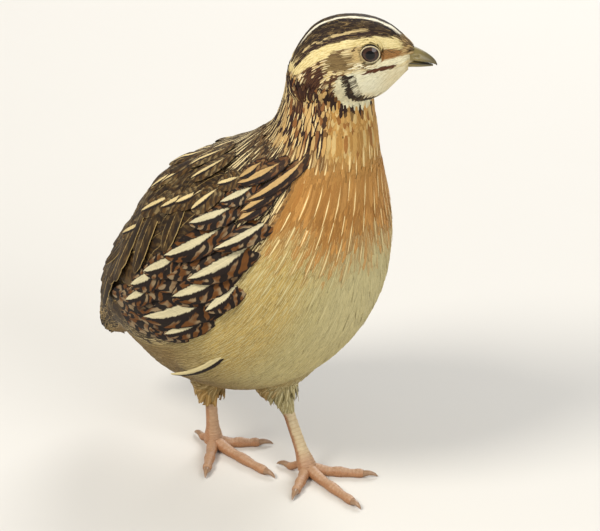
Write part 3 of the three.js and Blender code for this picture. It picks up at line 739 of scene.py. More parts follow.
def head_style(q, mirrored, style, on):
    """Markings of the head at places q in its own frame. on is each feather's share in the head."""
    middle = np.abs(q[:, 1] - CROWN_STRIPE_Y)
    x, _, z = mirrored.T
    fleck = rng.random(len(q))

    def paint(mask, *tones, **values):
        style.blend(mask * on, *tones, **values)

    paint(1.0, "bfa672", "dccb9a", rim=DARK, length=2.7, width=1.0, lift=0.75, **PLAIN)
    paint(1.0, stripe=0.35)
    top, low = track(BROW_TOP, x), track(BROW_LOW, x)
    crown = smooth(-0.25, 0.25, z - top)
    above_low = smooth(-0.3, 0.3, z - low)
    # Cheek, throat and the sides of the neck below the brow.
    throat = smooth(-4.6, -6.0, z) * smooth(-6.6, -5.6, x)
    paint(throat, "cfc7a4", "e2dbbc", stripe=0.4, length=3.0)
    paint(throat * smooth(0.0, 6.0, x), "c6b489", "dccfa8")
    paint(between(-4.4, -2.3, 0.4, z) * smooth(0.5, 2.0, x), "d8cba2", "e8dfba")
    lore = between(-2.5, 0.2, 0.3, z - 0.04 * x) * smooth(1.2, 2.2, x) * (1 - smooth(7.8, 9.6, x))
    paint(lore, "7d5429", "9c6e3c", length=2.2)
    paint(lore * smooth(3.2, 4.6, x) * smooth(-1.6, -0.6, z), "58442a")
    under = between(-4.6, -2.2, 0.4, z) * between(-5.5, 1.6, 0.6, x)
    paint(under, "c3b184", "efe6c6", stripe=0.4, length=2.4, width=0.8)
    paint(under * (fleck > 0.72), "5c4a30", "86704a")
    paint(between(-2.6, 1.4, 0.4, z) * between(-6.0, -2.4, 0.5, x), "bda26c", "a48756", stripe=0.2)
    ear = smooth(1.12, 0.9, np.hypot((x + 8.7) / 2.9, (z + 2.9) / 3.3))
    paint(ear, "6f5936", "8d7448", stripe=0.12, length=3.4)
    paint(ear * (fleck > 0.8), "5c482b")
    line = between(-0.9, 0.1, 0.15, z - low) * between(-16.0, -3.6, 0.4, x)
    paint(line * (fleck > 0.25), "574028", "7a5f3c", length=2.6, width=0.8)
    nape_side = smooth(-11.6, -12.8, x) * (1 - above_low)
    paint(nape_side, "b7955a", CREAM, stripe=0.22, length=4.0, width=1.3)
    paint(nape_side * (fleck > 0.55), "3c271a", "6b4c30")
    below_ear = smooth(-4.2, -5.2, z) * between(-13.5, -6.4, 0.6, x)
    paint(below_ear, "c9ae74", CREAM, stripe=0.2, length=3.4, width=1.3)
    paint(below_ear * (fleck > 0.62), "4c3120", "7a5838")
    paint((1 - crown) * above_low, "cdb677", "e2cf95", stripe=0.4, length=3.2, width=1.1)
    # Crown: dark feathers with pale edges, a dark band over the brow and a pale line along the middle.
    paint(crown, "2a1d14", "a98f62", rim="84693f", edge=0.34, stripe=0.0, bar=INK,
          length=3.4, width=1.45, lift=0.85)
    paint(crown * (fleck > 0.5), "44341f", rim="8f7850")
    paint(crown * (fleck > 0.86), "6a5433", rim="b39a68")
    band = between(0.0, 1.2, 0.25, z - top) * smooth(4.0, 1.0, x)
    paint(band * (fleck > 0.2), "33221a", edge=0.1)
    thin = between(1.2, 1.7, 0.15, z - top) * smooth(0.0, -1.5, x)
    paint(thin * (fleck > 0.35), "bfa774", edge=0.0)
    high = smooth(2.6, 3.8, z + 0.5 * np.maximum(-x - 9, 0) + 0.3 * np.maximum(x - 4, 0))
    stripe = smooth(0.62, 0.34, middle) * high * smooth(7.8, 6.2, x) * smooth(-19, -16.5, x)
    paint(stripe, "efe6cc", edge=0.0, width=0.85, length=3.8)
    paint(between(0.7, 1.5, 0.2, middle) * high * (fleck > 0.3), INK)
    front = smooth(7.4, 9.0, x) * smooth(-3.0, -1.5, z)
    paint(front, "98794a", "c0a26a", stripe=0.3, edge=0.0, length=2.0, width=0.8)
    paint(front * (fleck > 0.5), "4a3722", "8a6e44")
    d, _ = line_distance(mirrored, MOUSTACHE)
    paint(smooth(0.68, 0.45, d), "54301c", stripe=0.0, edge=0.0, length=2.2, width=0.9)
    paint(smooth(4.6, 3.4, np.linalg.norm(from_eye(mirrored), axis=1)), length=1.5, width=0.7, lift=0.6)


def coat_style(points, t, angle):
    """Markings of the small feathers at points of the coat's outer side."""
    a = np.abs(angle)
    fleck = rng.random(len(points))
    # Belly.
    style = Style(len(points), ground="ad9f6b", mark="c0b382", rim="beb07e",
                  edge=0.3, stripe=0.1, length=9.0, width=1.7, lift=2.3)
    paint = style.blend
    paint(between(4.8, 7.5, 0.5, t) * between(108, 142, 10, a), "aa9152", rim="bfa76e")
    paint(smooth(5.6, 6.4, t) * smooth(150, 165, a) * 0.6, "b3a87c")
    # Vent: darker brown, partly its own colour and partly painted shade under the body.
    paint(smooth(5.4, 4.4, t) * smooth(100, 115, a), "69522c", "967b48", rim="84693a")
    # Breast.
    border = 7.45 + 0.12 * np.sin(np.radians(a * 9)) + (fleck - 0.5) * 0.45
    breast = smooth(-0.5, 0.5, t - border) * smooth(84, 96, a)
    paint(breast, "9c6c32", "ecd094", rim="b78645", edge=0.25, stripe=0.0, length=8.0, width=1.7)
    paint(breast * (fleck < 0.2), "b88444")
    paint(breast * (fleck > 0.72), "9c6a30")
    paint(breast * smooth(7.9, 9.3, t), "b08447")
    # Back, rump and the ground under wings and flanks.
    back = smooth(112, 104, a) * (1 - smooth(8.4, 9.2, t) * smooth(60, 75, a))
    paint(back, "5e4a2e", "dcc48e", rim=INK, stripe=0.1, border=0.14, bar="251a12", bars=0.75, bar_count=30.0,
          length=8.5, width=4.6, lift=2.3, blotch=0.8, edge=0.0)
    paint(back * (fleck > 0.7), stripe=0.24)
    rump = smooth(4.6, 3.9, t) * smooth(112, 104, a)
    paint(rump, "554220", rim="b89c68", bar="20140b", stripe=0.0, border=0.0, bars=0.6, bar_count=9.0,
          blotch=0.8, edge=0.12, length=9.0, width=4.6)
    # Mantle: cream stripes between black ones.
    mantle = smooth(7.4, 8.2, t) * smooth(96, 86, a)
    paint(mantle, "6e5230", "e2cc98", rim=INK, stripe=0.22, border=0.24, bars=0.5, bar_count=16.0, blotch=0.8,
          edge=0.0, length=10.0, width=3.2, lift=2.0)
    paint(mantle, stripe=0.26, border=0.42)
    paint(mantle * (fleck > 0.68), stripe=0.0, border=0.0, blotch=0.9)
    # Neck: cream and black streaks on the sides, a buff front.
    side_neck = smooth(8.4, 9.2, t) * smooth(150, 130, a)
    paint(side_neck, "33201a", "dcc086", rim=INK, stripe=0.34, border=0.14, bars=0.0, blotch=0.0, edge=0.0,
          length=6.5, width=1.35, lift=1.5)
    paint(side_neck * (fleck < 0.22), stripe=0.0)
    flank_neck = side_neck * (1 - side_neck * smooth(75, 55, a))
    paint(flank_neck * (fleck > 0.55), "c7a266", stripe=0.0, border=0.0, rim="4a2e1c", edge=0.25)
    paint(flank_neck * (fleck > 0.8), "85572e", edge=0.3)
    front_neck = smooth(8.7, 9.3, t) * smooth(124, 136, a)
    paint(front_neck, "ab7f40", "e8d09a", rim="c09454", stripe=0.0, border=0.0, blotch=0.0, edge=0.25,
          length=5.5, width=1.5, lift=1.4)
    paint(front_neck * (fleck > 0.5), "b68d4e")
    paint(front_neck * (fleck > 0.84), "c9aa6e")
    paint(front_neck * (fleck < 0.16), "93632e")
    # Thighs. The right one's cuff is drawn darker and browner as painted shade.
    thigh = thigh_share(points, t)
    paint(thigh, "9f9163", "c2b68a", length=6.5, width=1.5, lift=1.0, **{**PLAIN, "stripe": 0.3})
    low = thigh * smooth(31, 19, points[:, 2])
    paint(low, length=3.8, width=1.3, lift=0.4)
    paint(low * (points[:, 1] > 0), length=5.0, lift=0.5)
    # Painted shade on the right thigh's cuff.
    paint(low * (points[:, 1] < 0), "94743f", "b3925c")
    q = to_head(points)
    mirrored = q * [1, 0, 1] - np.abs(q) * [0, 1, 0]
    head = above_chin(points, 1.0)
    near_head = smooth(-24.0, -21.5, q[:, 2]) * smooth(9.0, 9.4, t)
    paint(near_head * smooth(100, 120, a), length=3.2, width=1.5, lift=1.1)
    head_style(q, mirrored, style, head)
    # White bib between the dark collar mark and the necklace.
    d, _ = line_distance(mirrored, BIB)
    paint(smooth(2.1, 1.5, d), "d8cfa8", "e6dfc0", length=3.4, width=1.4, lift=1.0, **PLAIN)
    d, share = line_distance(mirrored, COLLAR)
    paint(smooth(4.0, 2.6, d), length=2.1, width=1.1, lift=0.9)
    paint(smooth(3.2, 2.4, d) * smooth(0.1, 0.25, share), "d3c9a4", "e2dbbc")
    collar = smooth(0.3, -0.2, d - np.interp(share, [0, 0.35, 0.6, 1.0], [1.1, 1.3, 1.4, 0.9]))
    paint(collar, "2c2017", length=2.1, width=1.2, lift=0.95, **PLAIN)
    paint(collar * (fleck > 0.8), "4a3b26")
    for stops, half in NECK_STREAKS:
        d, _ = line_distance(mirrored, stops)
        dark = smooth(half + 0.25, half - 0.25, d + (fleck - 0.5) * 0.7)
        paint(dark, "3a2218", "6b4526", **{**PLAIN, "stripe": 0.12})
    for spot in NECKLACE:
        d = np.linalg.norm((mirrored - spot) / (1.05, 1.2, 1.5), axis=1)
        paint(smooth(1.2, 0.9, d), "2c1a10", length=3.6, width=1.7, **PLAIN)
    return style, head


def make_vanes(name, path, normals, style, shares, widths, root_uv, patch,
               columns=3, under=0, thick=0.12, crown=0.12, bend=None, tilt=0.0, fray=0.06):
    """Feathers as closed thin solids. path and normals hold each feather's points from root to tip.

    A section runs over the top of the vane from left to right, and then back on its under side."""
    n, k = path.shape[:2]
    across = np.concatenate([np.linspace(-1, 1, columns), np.linspace(1, -1, under + 2)[1:-1]])
    on_top = np.arange(columns + under) < columns
    m = len(across)
    side = unit(np.cross(unit(np.gradient(path, axis=1)), normals))
    half = style.width[:, None] / 2 * widths[None, :]
    ragged = 1 + fray * rng.uniform(-1, 1, (n, k, m)) * (np.abs(across) > 0.99)
    out = half[..., None] * across * ragged
    body = np.sqrt(np.maximum(1 - across**2, 0))
    fade = np.where(np.arange(k) == k - 1, 0.4, 1.0)[None, :, None]
    height = crown * style.width[:, None, None] * (1 - across**2) + thick * body * on_top * fade
    if bend is not None:
        height = height - out**2 / bend
    height = height + np.asarray(tilt).reshape(-1, 1, 1) * out
    points = path[:, :, None] + side[:, :, None] * out[..., None] + normals[:, :, None] * height[..., None]
    faces = (ring_faces(k, m)[None] + (np.arange(n) * k * m)[:, None, None]).reshape(-1, 3)
    along = np.broadcast_to(np.asarray(shares)[None, :, None], (n, k, m))
    seeds = np.broadcast_to((rng.random(n) * 50)[:, None, None], (n, k, m))
    data = dict(
        pattern=np.stack([style.bar_count, rng.random(n) * 6.28, style.start], -1),
        web=np.stack([style.blotch, style.web, style.tip], -1),
        **{key: np.c_[getattr(style, key), getattr(style, beside)] for key, beside in COLOURS.items()},
    )
    data = {key: np.repeat(values, k * m, axis=0) for key, values in data.items()}
    data["vane"] = np.stack([np.broadcast_to(across, (n, k, m)), along, seeds], -1)
    ends = np.where(np.isin(np.arange(k), (0, k - 1)), 0.06, 0.0)[None, :, None]
    place = np.stack([data["vane"][..., 0] * 0.5, along - 0.5 + ends * (1 - np.abs(across))], -1)
    uv = (root_uv[:, None, None] + place * patch).reshape(-1, 2)
    piece = write_mesh(name, points.reshape(-1, 3), faces, feathers, uv, **data)
    # A vane's sides and ends are sharp edges, so that it is shaded as a blade and not as a rod.
    mesh = piece.data
    ends = np.empty(len(mesh.edges) * 2, np.int32)
    mesh.edges.foreach_get("vertices", ends)
    column = ends.reshape(-1, 2) % m
    ring = ends.reshape(-1, 2) // m % k
    sharp = (column[:, 0] == column[:, 1]) & np.isin(column[:, 0], (0, columns - 1))
    sharp |= (ring[:, 0] == ring[:, 1]) & np.isin(ring[:, 0], (0, k - 1))
    mesh.attributes.new("sharp_edge", "BOOLEAN", "EDGE").data.foreach_set("value", sharp)
    settle(piece, "plumage")
    print(name, n, "feathers", len(mesh.polygons), "triangles")
    return piece


def unwrapped(points, t, angle, head):
    """Place of each point on an unwrap of the skin: the body below, the head above it."""
    q = to_head(points)
    turn = np.degrees(np.arctan2(q[:, 1], q[:, 2] + 4.5))
    body = np.stack([0.5 + angle / 370, 0.02 + t / NECK_TOP * 0.6], -1)
    face = np.stack([0.5 + turn / 370, 0.66 + (q[:, 0] + 21) / 35 * 0.32], -1)
    return np.where((head > 0.5)[:, None], face, body)


def thin_out(points, radius):
    """Keeps random points that stay a radius apart, by a grid of cells."""
    cell = radius.min()
    keys = np.floor(points / cell).astype(int).tolist()
    reach = np.ceil(radius / cell).astype(int).tolist()
    listed = points.tolist()
    kept, grid = [], {}

    def crowded(i):
        (x, y, z), (kx, ky, kz), span = listed[i], keys[i], reach[i]
        limit = radius[i] * radius[i]
        for dx in range(-span, span + 1):
            for dy in range(-span, span + 1):
                for dz in range(-span, span + 1):
                    for ox, oy, oz in grid.get((kx + dx, ky + dy, kz + dz), ()):
                        if (x - ox) ** 2 + (y - oy) ** 2 + (z - oz) ** 2 < limit:
                            return True
        return False

    for i, p in enumerate(listed):
        if not crowded(i):
            grid.setdefault(tuple(keys[i]), []).append(p)
            kept.append(i)
    return np.array(kept)


# Small feathers: their points from root to tip, and the share of the width at each.
SHARES = np.array([0, 0.3, 0.55, 0.78, 0.92, 1.0])
WIDTHS = np.array([0.5, 0.9, 1.0, 0.8, 0.46, 0.08])
PATCH = 0.003
SCATTERED = 260000
# Spacing below which feathers count as small, stations where breast and neck begin, bare rings round
# the eye for roots and tips, and what the feathers in the breast's lines differ by.
SMALL_SPACING = 0.7
BREAST_FROM, NECK_FROM = 6.2, 8.6
ROOT_REACH, TIP_REACH = 2.6, 2.3
LINE_WIDTH, LINE_LONGER, LINE_HIGHER, LINE_STRIPE = 1.1, 2.0, 0.2, 0.3


def lay_coat(roots, normals, t, angle, style):
    """Paths of small feathers over the skin, rising from their roots to their tips."""
    spot, normal = roots, normals
    path, ups = [], []
    previous = 0.0
    for share in SHARES:
        if share > 0:
            way = flow(spot, normal, t, angle)
            spot, normal = surface.nearest(spot + way * (style.length * (share - previous))[:, None])
            t, angle = locate(spot)
        previous = share
        path.append(spot + normal * (style.lift * (0.87 + 0.13 * share))[:, None])
        ups.append(normal)
    return np.stack(path, 1), np.stack(ups, 1)


def line_roots():
    """Roots of the breast's streaked feathers, which follow one another in lines down the body."""
    t, angle = [], []
    for place in np.arange(-176, 180, 8.5):
        if abs(place) < 98:
            continue
        turned = place + rng.uniform(-1.5, 1.5)
        station = 9.6 - rng.uniform(0, 0.5)
        while station > 6.3:
            t.append(station)
            angle.append(turned + rng.uniform(-0.8, 0.8))
            station -= rng.uniform(0.42, 0.6)
    return np.array(t), np.array(angle)


def coat_spacing(spots, t, angle, head):
    """Distance between the roots of small feathers, closest on face and feet."""
    a = np.abs(angle)
    radius = np.interp(t, [0, 3, 6, 8, 9.2, 10.2, 10.6], [1.3, 1.8, 2.2, 2.0, 1.2, 0.95, 0.8])
    on_head = np.interp(to_head(spots)[:, 0], [-20, -12, 0, 8], [0.68, 0.5, 0.38, 0.32])
    for share, value in (
        (smooth(96, 106, a) * smooth(9.2, 8.6, t), 0.85),
        (smooth(8.8, 9.4, t) * smooth(128, 142, a), 0.85),
        (thigh_share(spots, t), 0.6),
        (head, on_head),
    ):
        radius = radius * (1 - share) + share * value
    return radius


def bare(spots, head, reach):
    """Where no feather may be: over the eyes, within reach of their middles, and on the bill."""
    q = to_head(spots)
    over_eye = (np.linalg.norm(from_eye(q), axis=1) < reach) & (np.abs(q[:, 1]) > 4)
    on_bill = (q[:, 0] > 11.0) | ((q[:, 0] > 9.6) & (np.abs(q[:, 2] + 4.6) < 3.4 - (q[:, 0] - 9.6)))
    return over_eye, on_bill & (head > 0.5)


def add_coat():
    """The small feathers of the whole bird, in one piece for each part of it."""
    spots = surface.scatter(SCATTERED)
    t, angle = locate(spots)
    head = above_chin(spots, 1.0)
    radius = coat_spacing(spots, t, angle, head)
    over_eye, on_bill = bare(spots, head, ROOT_REACH)
    free = ~(over_eye | on_bill)
    spots, t, angle, head, radius = (v[free] for v in (spots, t, angle, head, radius))
    groups = [np.flatnonzero(group) for group in (radius < SMALL_SPACING, radius >= SMALL_SPACING)]
    kept = np.concatenate([group[thin_out(spots[group], radius[group])] for group in groups])
    line_t, line_angle = line_roots()
    lined = np.arange(len(kept) + len(line_t)) >= len(kept)
    spots = np.concatenate([spots[kept], body_point(line_t, line_angle)])
    t, angle = np.concatenate([t[kept], line_t]), np.concatenate([angle[kept], line_angle])
    head = np.concatenate([head[kept], np.zeros(len(line_t))])
    spots, normals = surface.nearest(spots)
    first, _ = coat_style(spots, t, angle)
    # The markings are read where a feather shows, which is near its tip.
    way = flow(spots, normals, t, angle)
    shown, shown_up = surface.nearest(spots + way * (first.length * 0.7)[:, None])
    shown_t, shown_angle = locate(shown)
    style, _ = coat_style(shown + shown_up * first.lift[:, None], shown_t, shown_angle)
    style.length = first.length * rng.uniform(0.88, 1.12, len(spots)) + LINE_LONGER * lined
    style.width = np.where(lined, LINE_WIDTH, first.width * (1 - 0.25 * head))
    style.lift = first.lift * rng.uniform(0.97, 1.03, len(spots)) + LINE_HIGHER * lined
    style.stripe += LINE_STRIPE * lined * smooth(5.9, 6.6, shown_t)
    path, ups = lay_coat(spots, normals, t, angle, style)
    # A feather whose tip would hang over the eye is left out.
    covering, _ = bare(path[:, -1], head, TIP_REACH)
    place = unwrapped(spots, t, angle, head)
    body, under = (head <= 0.5) & (t <= NECK_FROM), np.abs(angle) > 90
    parts = {
        "coat_head": head > 0.5,
        "coat_neck": (head <= 0.5) & (t > NECK_FROM),
        "coat_breast": body & under & (t > BREAST_FROM),
        "coat_belly": body & under & (t <= BREAST_FROM),
        "coat_back": body & ~under,
    }
    for name, chosen in parts.items():
        chosen = chosen & ~covering
        part = Style.gather([style], chosen)
        part.ground = np.clip(part.ground * rng.uniform(0.86, 1.12, (chosen.sum(), 1)), 0, 1)
        make_vanes(name, path[chosen], ups[chosen], part, SHARES, WIDTHS, place[chosen], PATCH,
                   thick=0.05, crown=0.03, fray=0.2)


add_coat()


def colour_skin():
    """The skin carries the coat's markings, a little darker as painted shade under the feathers, so nothing
    shows between them.
    """
    t, angle = locate(surface.points)
    style, _ = coat_style(surface.points + surface.normals, t, angle)
    # Painted shade: the skin under the coat is drawn at three quarters of the coat's brightness.
    style.ground *= 0.75
    middle = np.tile([0.0, 0.5, 0.0], (len(t), 1))
    add_layers(skin.data, dict(
        vane=middle, pattern=middle, web=np.zeros((len(t), 3)),
        **{key: np.c_[getattr(style, key), np.zeros(len(t))] for key in COLOURS},
    ))
    settle(skin, "belly plumage", "torso", "neck", "head", "thigh_left", "thigh_right")


colour_skin()


# Large feathers over the body's own outline.
STEPS, STRIDE = 24, 0.1


def body_path(t, angle, length, drift, root_lift, tip_lift, shares):
    """Path of feathers from their roots towards the tail, and the body's normals along it."""
    station = t.copy()
    stations, turns = [], []
    for i in range(STEPS + 1):
        turned = angle + drift * (i / STEPS)
        stations.append(station)
        turns.append(turned)
        ahead = body_point(station - STRIDE, turned) - body_point(station, turned)
        pace = np.linalg.norm(ahead, axis=-1) / STRIDE
        station = station - length / STEPS / np.maximum(pace, 6)
    at = shares * STEPS
    low = np.floor(at).astype(int)
    high = np.minimum(low + 1, STEPS)
    s, a = (line[:, low] * (1 - (at - low)) + line[:, high] * (at - low)
            for line in (np.stack(stations, 1), np.stack(turns, 1)))
    lift = root_lift[:, None] + (tip_lift - root_lift)[:, None] * shares
    up = body_normal(s, a)
    return body_point(s, a) + up * lift[..., None], up


TIER_SHARES = 1 - np.linspace(1, 0, 27) ** 1.25
OUTLINE_SHARES = (0, 0.12, 0.25, 0.4, 0.55, 0.7, 0.82, 0.91, 0.97, 1.0)
ROUND_TIP = np.interp(TIER_SHARES, OUTLINE_SHARES, (0.5, 0.72, 0.88, 0.98, 1.0, 0.97, 0.86, 0.66, 0.42, 0.12))
SLIM_TIP = np.interp(TIER_SHARES, OUTLINE_SHARES, (0.5, 0.72, 0.9, 1.0, 0.97, 0.86, 0.68, 0.46, 0.26, 0.06))


def tier(count, first, last, length, width, drift, root_lift, tip_lift, tilt, look):
    """One row of feathers between two roots, each a station and an angle, on the bird's left side."""
    share = np.linspace(0, 1, count)
    t = first[0] + (last[0] - first[0]) * share
    angle = first[1] + (last[1] - first[1]) * share + rng.uniform(-0.8, 0.8, count)
    long = (length[0] + (length[1] - length[0]) * share) * (1 + rng.uniform(-0.05, 0.05, count))
    return dict(
        t=t, angle=angle, length=long, drift=drift + rng.uniform(-1.2, 1.2, count),
        root_lift=np.full(count, root_lift), tip_lift=tip_lift + rng.uniform(-0.15, 0.15, count),
        tilt=np.full(count, tilt), style=Style(count, width=width, **look),
    )


def add_tiers(name, sides, widths, *replaced):
    """Large feathers of one piece, from rows on the left side, and +1 or -1 for the side each belongs on."""
    for rows, side in sides:
        for row in rows:
            for key in ("angle", "drift", "tilt"):
                row[key] = side * row[key]
            row["style"].web *= side
    tiers = [row for rows, _ in sides for row in rows]
    style = Style.gather([row["style"] for row in tiers])
    t, angle, length, drift, root_lift, tip_lift, tilt = (
        np.concatenate([row[key] for row in tiers])
        for key in ("t", "angle", "length", "drift", "root_lift", "tip_lift", "tilt")
    )
    path, ups = body_path(t, angle, length, drift, root_lift, tip_lift, TIER_SHARES)
    low, high, left, right = t.min() - 0.2, t.max() + 0.2, angle.min() - 4, angle.max() + 4
    uv = 0.04 + np.stack([(angle - left) / (right - left), (t - low) / (high - low)], -1) * 0.92
    piece = make_vanes(name, path, ups, style, TIER_SHARES, widths, uv, 0.03, columns=7, under=3,
                       thick=0.3, crown=0.0, bend=60.0, tilt=tilt, fray=0.035)
    if replaced:
        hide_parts(*replaced)


SCAPULAR = dict(ground="4c3515", mark="e4cd92", rim="ba9a5c", bar="20140a", bars=0.6, bar_count=44.0,
                blotch=0.75, edge=0.05)
COVERT = dict(ground="3a270c", mark="a08350", rim="ac9058", bar="1c1208", bars=0.75, bar_count=50.0,
              blotch=0.4, edge=0.09)
NET = dict(COVERT, bars=0.5, bar_count=36.0, edge=0.13, blotch=0.7, stripe=0.03)
FLIGHT = dict(ground="2f1f0a", mark="9f824e", rim="b0945c", bar="523b1c", bars=0.8, bar_count=50.0, edge=0.12)
PLUME = dict(ground="613a14", mark="c9bd96", rim=INK, bar="120a06", bars=0.97, bar_count=36.0, edge=0.12)
STREAK = dict(ground="563d1a", mark="dac28a", rim=INK, bar="1c1108", bars=0.7, bar_count=40.0, stripe=0.18,
              border=0.2, edge=0.04, web=0.001)
FLANK_STREAK = dict(PLUME, stripe=0.27, border=0.22, web=0.001)
FRONT_STREAK = dict(ground="5e3b1d", mark="bd9a62", rim=INK, bar=INK, bars=0.85, bar_count=30.0, stripe=0.36,
                    border=0.26, edge=0.2, web=0.001)
LOW_PLUME = dict(ground="cbbb8a", rim="cbbb8a", bar=INK, web=1.0)
TAIL_LOOK = dict(ground="513d1f", mark="a98d58", rim="a98c58", bar="1e130b", bars=0.6, bar_count=20.0,
                 blotch=0.5, edge=0.11)
UNDER_TAIL = dict(ground="a88b56", mark="d6c08c", rim="7c5f3a", bar="8a6c42", bars=0.2, bar_count=14.0,
                  stripe=0.06)
# Feathers with a pale streak that shows in full: the streak's start and tip, each as station and angle,
# and the feather's width. The two sides carry the same ones.
WING_STREAKS = (
    (STREAK, (
        (7.08, 24.5, 5.85, 36, 6.5), (7.62, 44.5, 6.83, 45.5, 6.5), (7.35, 65, 6.73, 64, 7),
        (7.03, 58, 6.43, 55, 7), (6.75, 52.5, 5.9, 51, 7), (6.25, 47.5, 5.12, 45, 7),
        (7.88, 69.5, 7.5, 64, 5.5), (6.6, 13, 5.5, 17, 6.5), (5.5, 27, 4.5, 31, 6.5),
        (5.3, 9, 4.2, 12, 6.5), (4.9, 50, 3.9, 49, 6), (7.5, 30, 6.7, 33, 6),
        (6.2, 30, 5.3, 33, 6.5), (4.4, 24, 3.4, 26, 6),
    )),
    (NET, (
        (6.6, 58, 6.25, 71.5, 6), (6.1, 51, 6.0, 71.5, 7), (5.45, 46, 5.2, 72, 7.5),
        (4.75, 50, 3.9, 72, 7), (3.9, 56, 3.2, 84, 6.5), (4.85, 48, 3.0, 58, 4.5),
    )),
)
FLANK_STREAKS = (
    (FLANK_STREAK, (
        (7.9, 82.5, 7.35, 74.5, 6.5), (7.35, 80, 6.65, 71, 7.5), (6.85, 82.5, 5.78, 73, 8.5),
        (5.9, 77, 5.12, 73.5, 8), (5.3, 76.5, 4.45, 76.5, 8), (4.85, 81, 4.1, 82, 7),
        (7.03, 101.5, 6.03, 88, 9), (6.43, 98.5, 5.58, 89, 9), (6.43, 108, 5.9, 104, 7.5),
        (6.0, 101, 4.6, 91, 10), (5.6, 106, 4.85, 102, 7.5),
    )),
    (LOW_PLUME, ((5.1, 126.5, 4.05, 128.5, 2.4),)),
    (FLANK_STREAK, ((7.6, 104, 6.78, 90, 6.5),)),
    (FRONT_STREAK, (
        (8.95, 107.5, 7.88, 86.5, 4.5), (8.62, 89, 7.93, 73.5, 5), (8.35, 76, 7.85, 72.5, 4.5),
        (7.95, 96.5, 7.33, 91, 5.5), (8.4, 100, 7.5, 88, 5),
    )),
)
HIDDEN = 0.45


def streaked(groups, root_lift, tip_lift, tilt):
    """Feathers whose streaks show from start to tip. Each one's root lies further up, under the others."""
    rows = np.array([row for _, group in groups for row in group])
    start_t, start_angle, tip_t, tip_angle, width = rows.T
    root_t = start_t + (start_t - tip_t) * HIDDEN
    root_angle = start_angle + (start_angle - tip_angle) * HIDDEN
    w = np.linspace(0, 1, 25)[:, None]
    line = body_point(root_t + (tip_t - root_t) * w, root_angle + (tip_angle - root_angle) * w)
    style = Style.gather([
        Style(len(group), **{"start": HIDDEN / (1 + HIDDEN) - 0.2, **look}) for look, group in groups
    ])
    style.width = width
    return dict(
        t=root_t, angle=root_angle, length=np.linalg.norm(np.diff(line, axis=0), axis=-1).sum(0),
        drift=tip_angle - root_angle + rng.uniform(-1, 1, len(rows)),
        root_lift=root_lift(start_t, start_angle), tip_lift=tip_lift(tip_t, tip_angle),
        tilt=np.full(len(rows), tilt), style=style,
    )


def flank_lift(t, angle):
    """Height of the flank's outermost feathers over the body, lower towards the belly and the breast."""
    return np.interp(angle, [70, 92, 110, 128], [3.2, 3.1, 2.5, 2.3]) * np.interp(t, [7.2, 8.6], [1, 0.5])


def flank_root(_, angle):
    """Along the belly's edge the roots lie sunk under the coat."""
    return np.interp(angle, [92, 102], [0.825, -0.9])


def scapular_lift(t, angle):
    return np.interp(angle, [10, 40, 60], [1.3, 2.4, 3.0]) * np.interp(t, [7.4, 8.2], [1, 0.8])


def scapular_root(t, angle):
    return scapular_lift(t, angle) - 1.4


def wing_tiers():
    return [
        tier(7, (4.3, 50), (4.5, 66), (26, 23), 7, -8, 0.5, 1.0, -0.1, FLIGHT),
        tier(8, (5.3, 38), (5.5, 70), (31, 26), 9, -3, 0.7, 1.3, -0.12, FLIGHT),
        tier(8, (6.3, 42), (6.5, 72), (22, 20), 8, 0, 0.8, 1.6, -0.12, COVERT),
        tier(8, (7.0, 44), (7.15, 73), (17, 16), 7.5, 0, 0.8, 1.9, -0.12, COVERT),
        tier(7, (7.6, 48), (7.75, 73), (13, 12), 7, 0, 0.6, 2.1, -0.12, COVERT),
        tier(6, (4.8, 20), (4.0, 46), (18, 18), 7, 0, 0.6, 1.5, 0.05, SCAPULAR),
        tier(5, (5.8, 24), (5.0, 52), (22, 22), 8, 0, 0.7, 1.7, 0.05, SCAPULAR),
        tier(5, (6.7, 26), (6.2, 58), (20, 20), 7.5, 0, 0.7, 1.9, 0.05, SCAPULAR),
        tier(5, (7.5, 28), (7.2, 62), (17, 17), 7, 0, 0.5, 2.0, 0.05, SCAPULAR),
        streaked(WING_STREAKS, scapular_root, scapular_lift, 0.05),
    ]


def flank_tiers():
    return [
        tier(4, (6.4, 108), (5.4, 108), (20, 18), 7.5, -9, -0.9, 1.2, 0.1, PLUME),
        tier(7, (7.3, 102), (5.0, 101), (26, 24), 9.5, -11, -0.9, 1.7, 0.1, PLUME),
        tier(7, (7.7, 93), (4.9, 91), (26, 24), 9, -12, -0.9, 2.1, 0.1, PLUME),
        streaked(FLANK_STREAKS, flank_root, flank_lift, 0.1),
    ]


def tail_tiers():
    return [
        tier(6, (1.7, 6), (1.7, 84), (21, 17), 6.5, -3, -0.9, 0.6, -0.08, TAIL_LOOK),
        tier(6, (1.9, 8), (2.0, 88), (16, 13), 6.5, 0, -0.7, 1.3, -0.08, TAIL_LOOK),
        tier(7, (2.7, 8), (2.8, 96), (16, 13), 7, 0, -0.6, 1.5, -0.08, TAIL_LOOK),
        tier(7, (3.6, 8), (3.7, 92), (16, 15), 7, 0, -0.6, 1.6, -0.08, TAIL_LOOK),
        tier(5, (1.85, 110), (1.85, 174), (13, 14), 8, 4, -0.9, 1.0, 0.05, UNDER_TAIL),
    ]


for name, side in SIDES:
    add_tiers("wing_feathers_" + name, [(wing_tiers(), side)], ROUND_TIP, "wing_" + name)
    add_tiers("flank_feathers_" + name, [(flank_tiers(), side)], SLIM_TIP)
add_tiers("tail_feathers", [(tail_tiers(), 1), (tail_tiers(), -1)], SLIM_TIP, "tail")


# Eyes: a ball with its iris and pupil, and a ring of lids.
def eye_material():
    s = Shader("eye")
    off, turn, _ = s.vector("vane")
    iris = s.mix(s.noise((turn * 6.0, off, 0.0), 2.0, 3.0), "24160f", "4a3022")
    iris = s.mix(s.step(0.5, 0.6, off), iris, "0c0705")
    colour = s.mix(s.step(0.33, 0.37, off), "020202", iris)
    return s.finish(colour, 0.12, Specular_IOR_Level=0.22, Coat_Weight=0.3, Coat_Roughness=0.03)


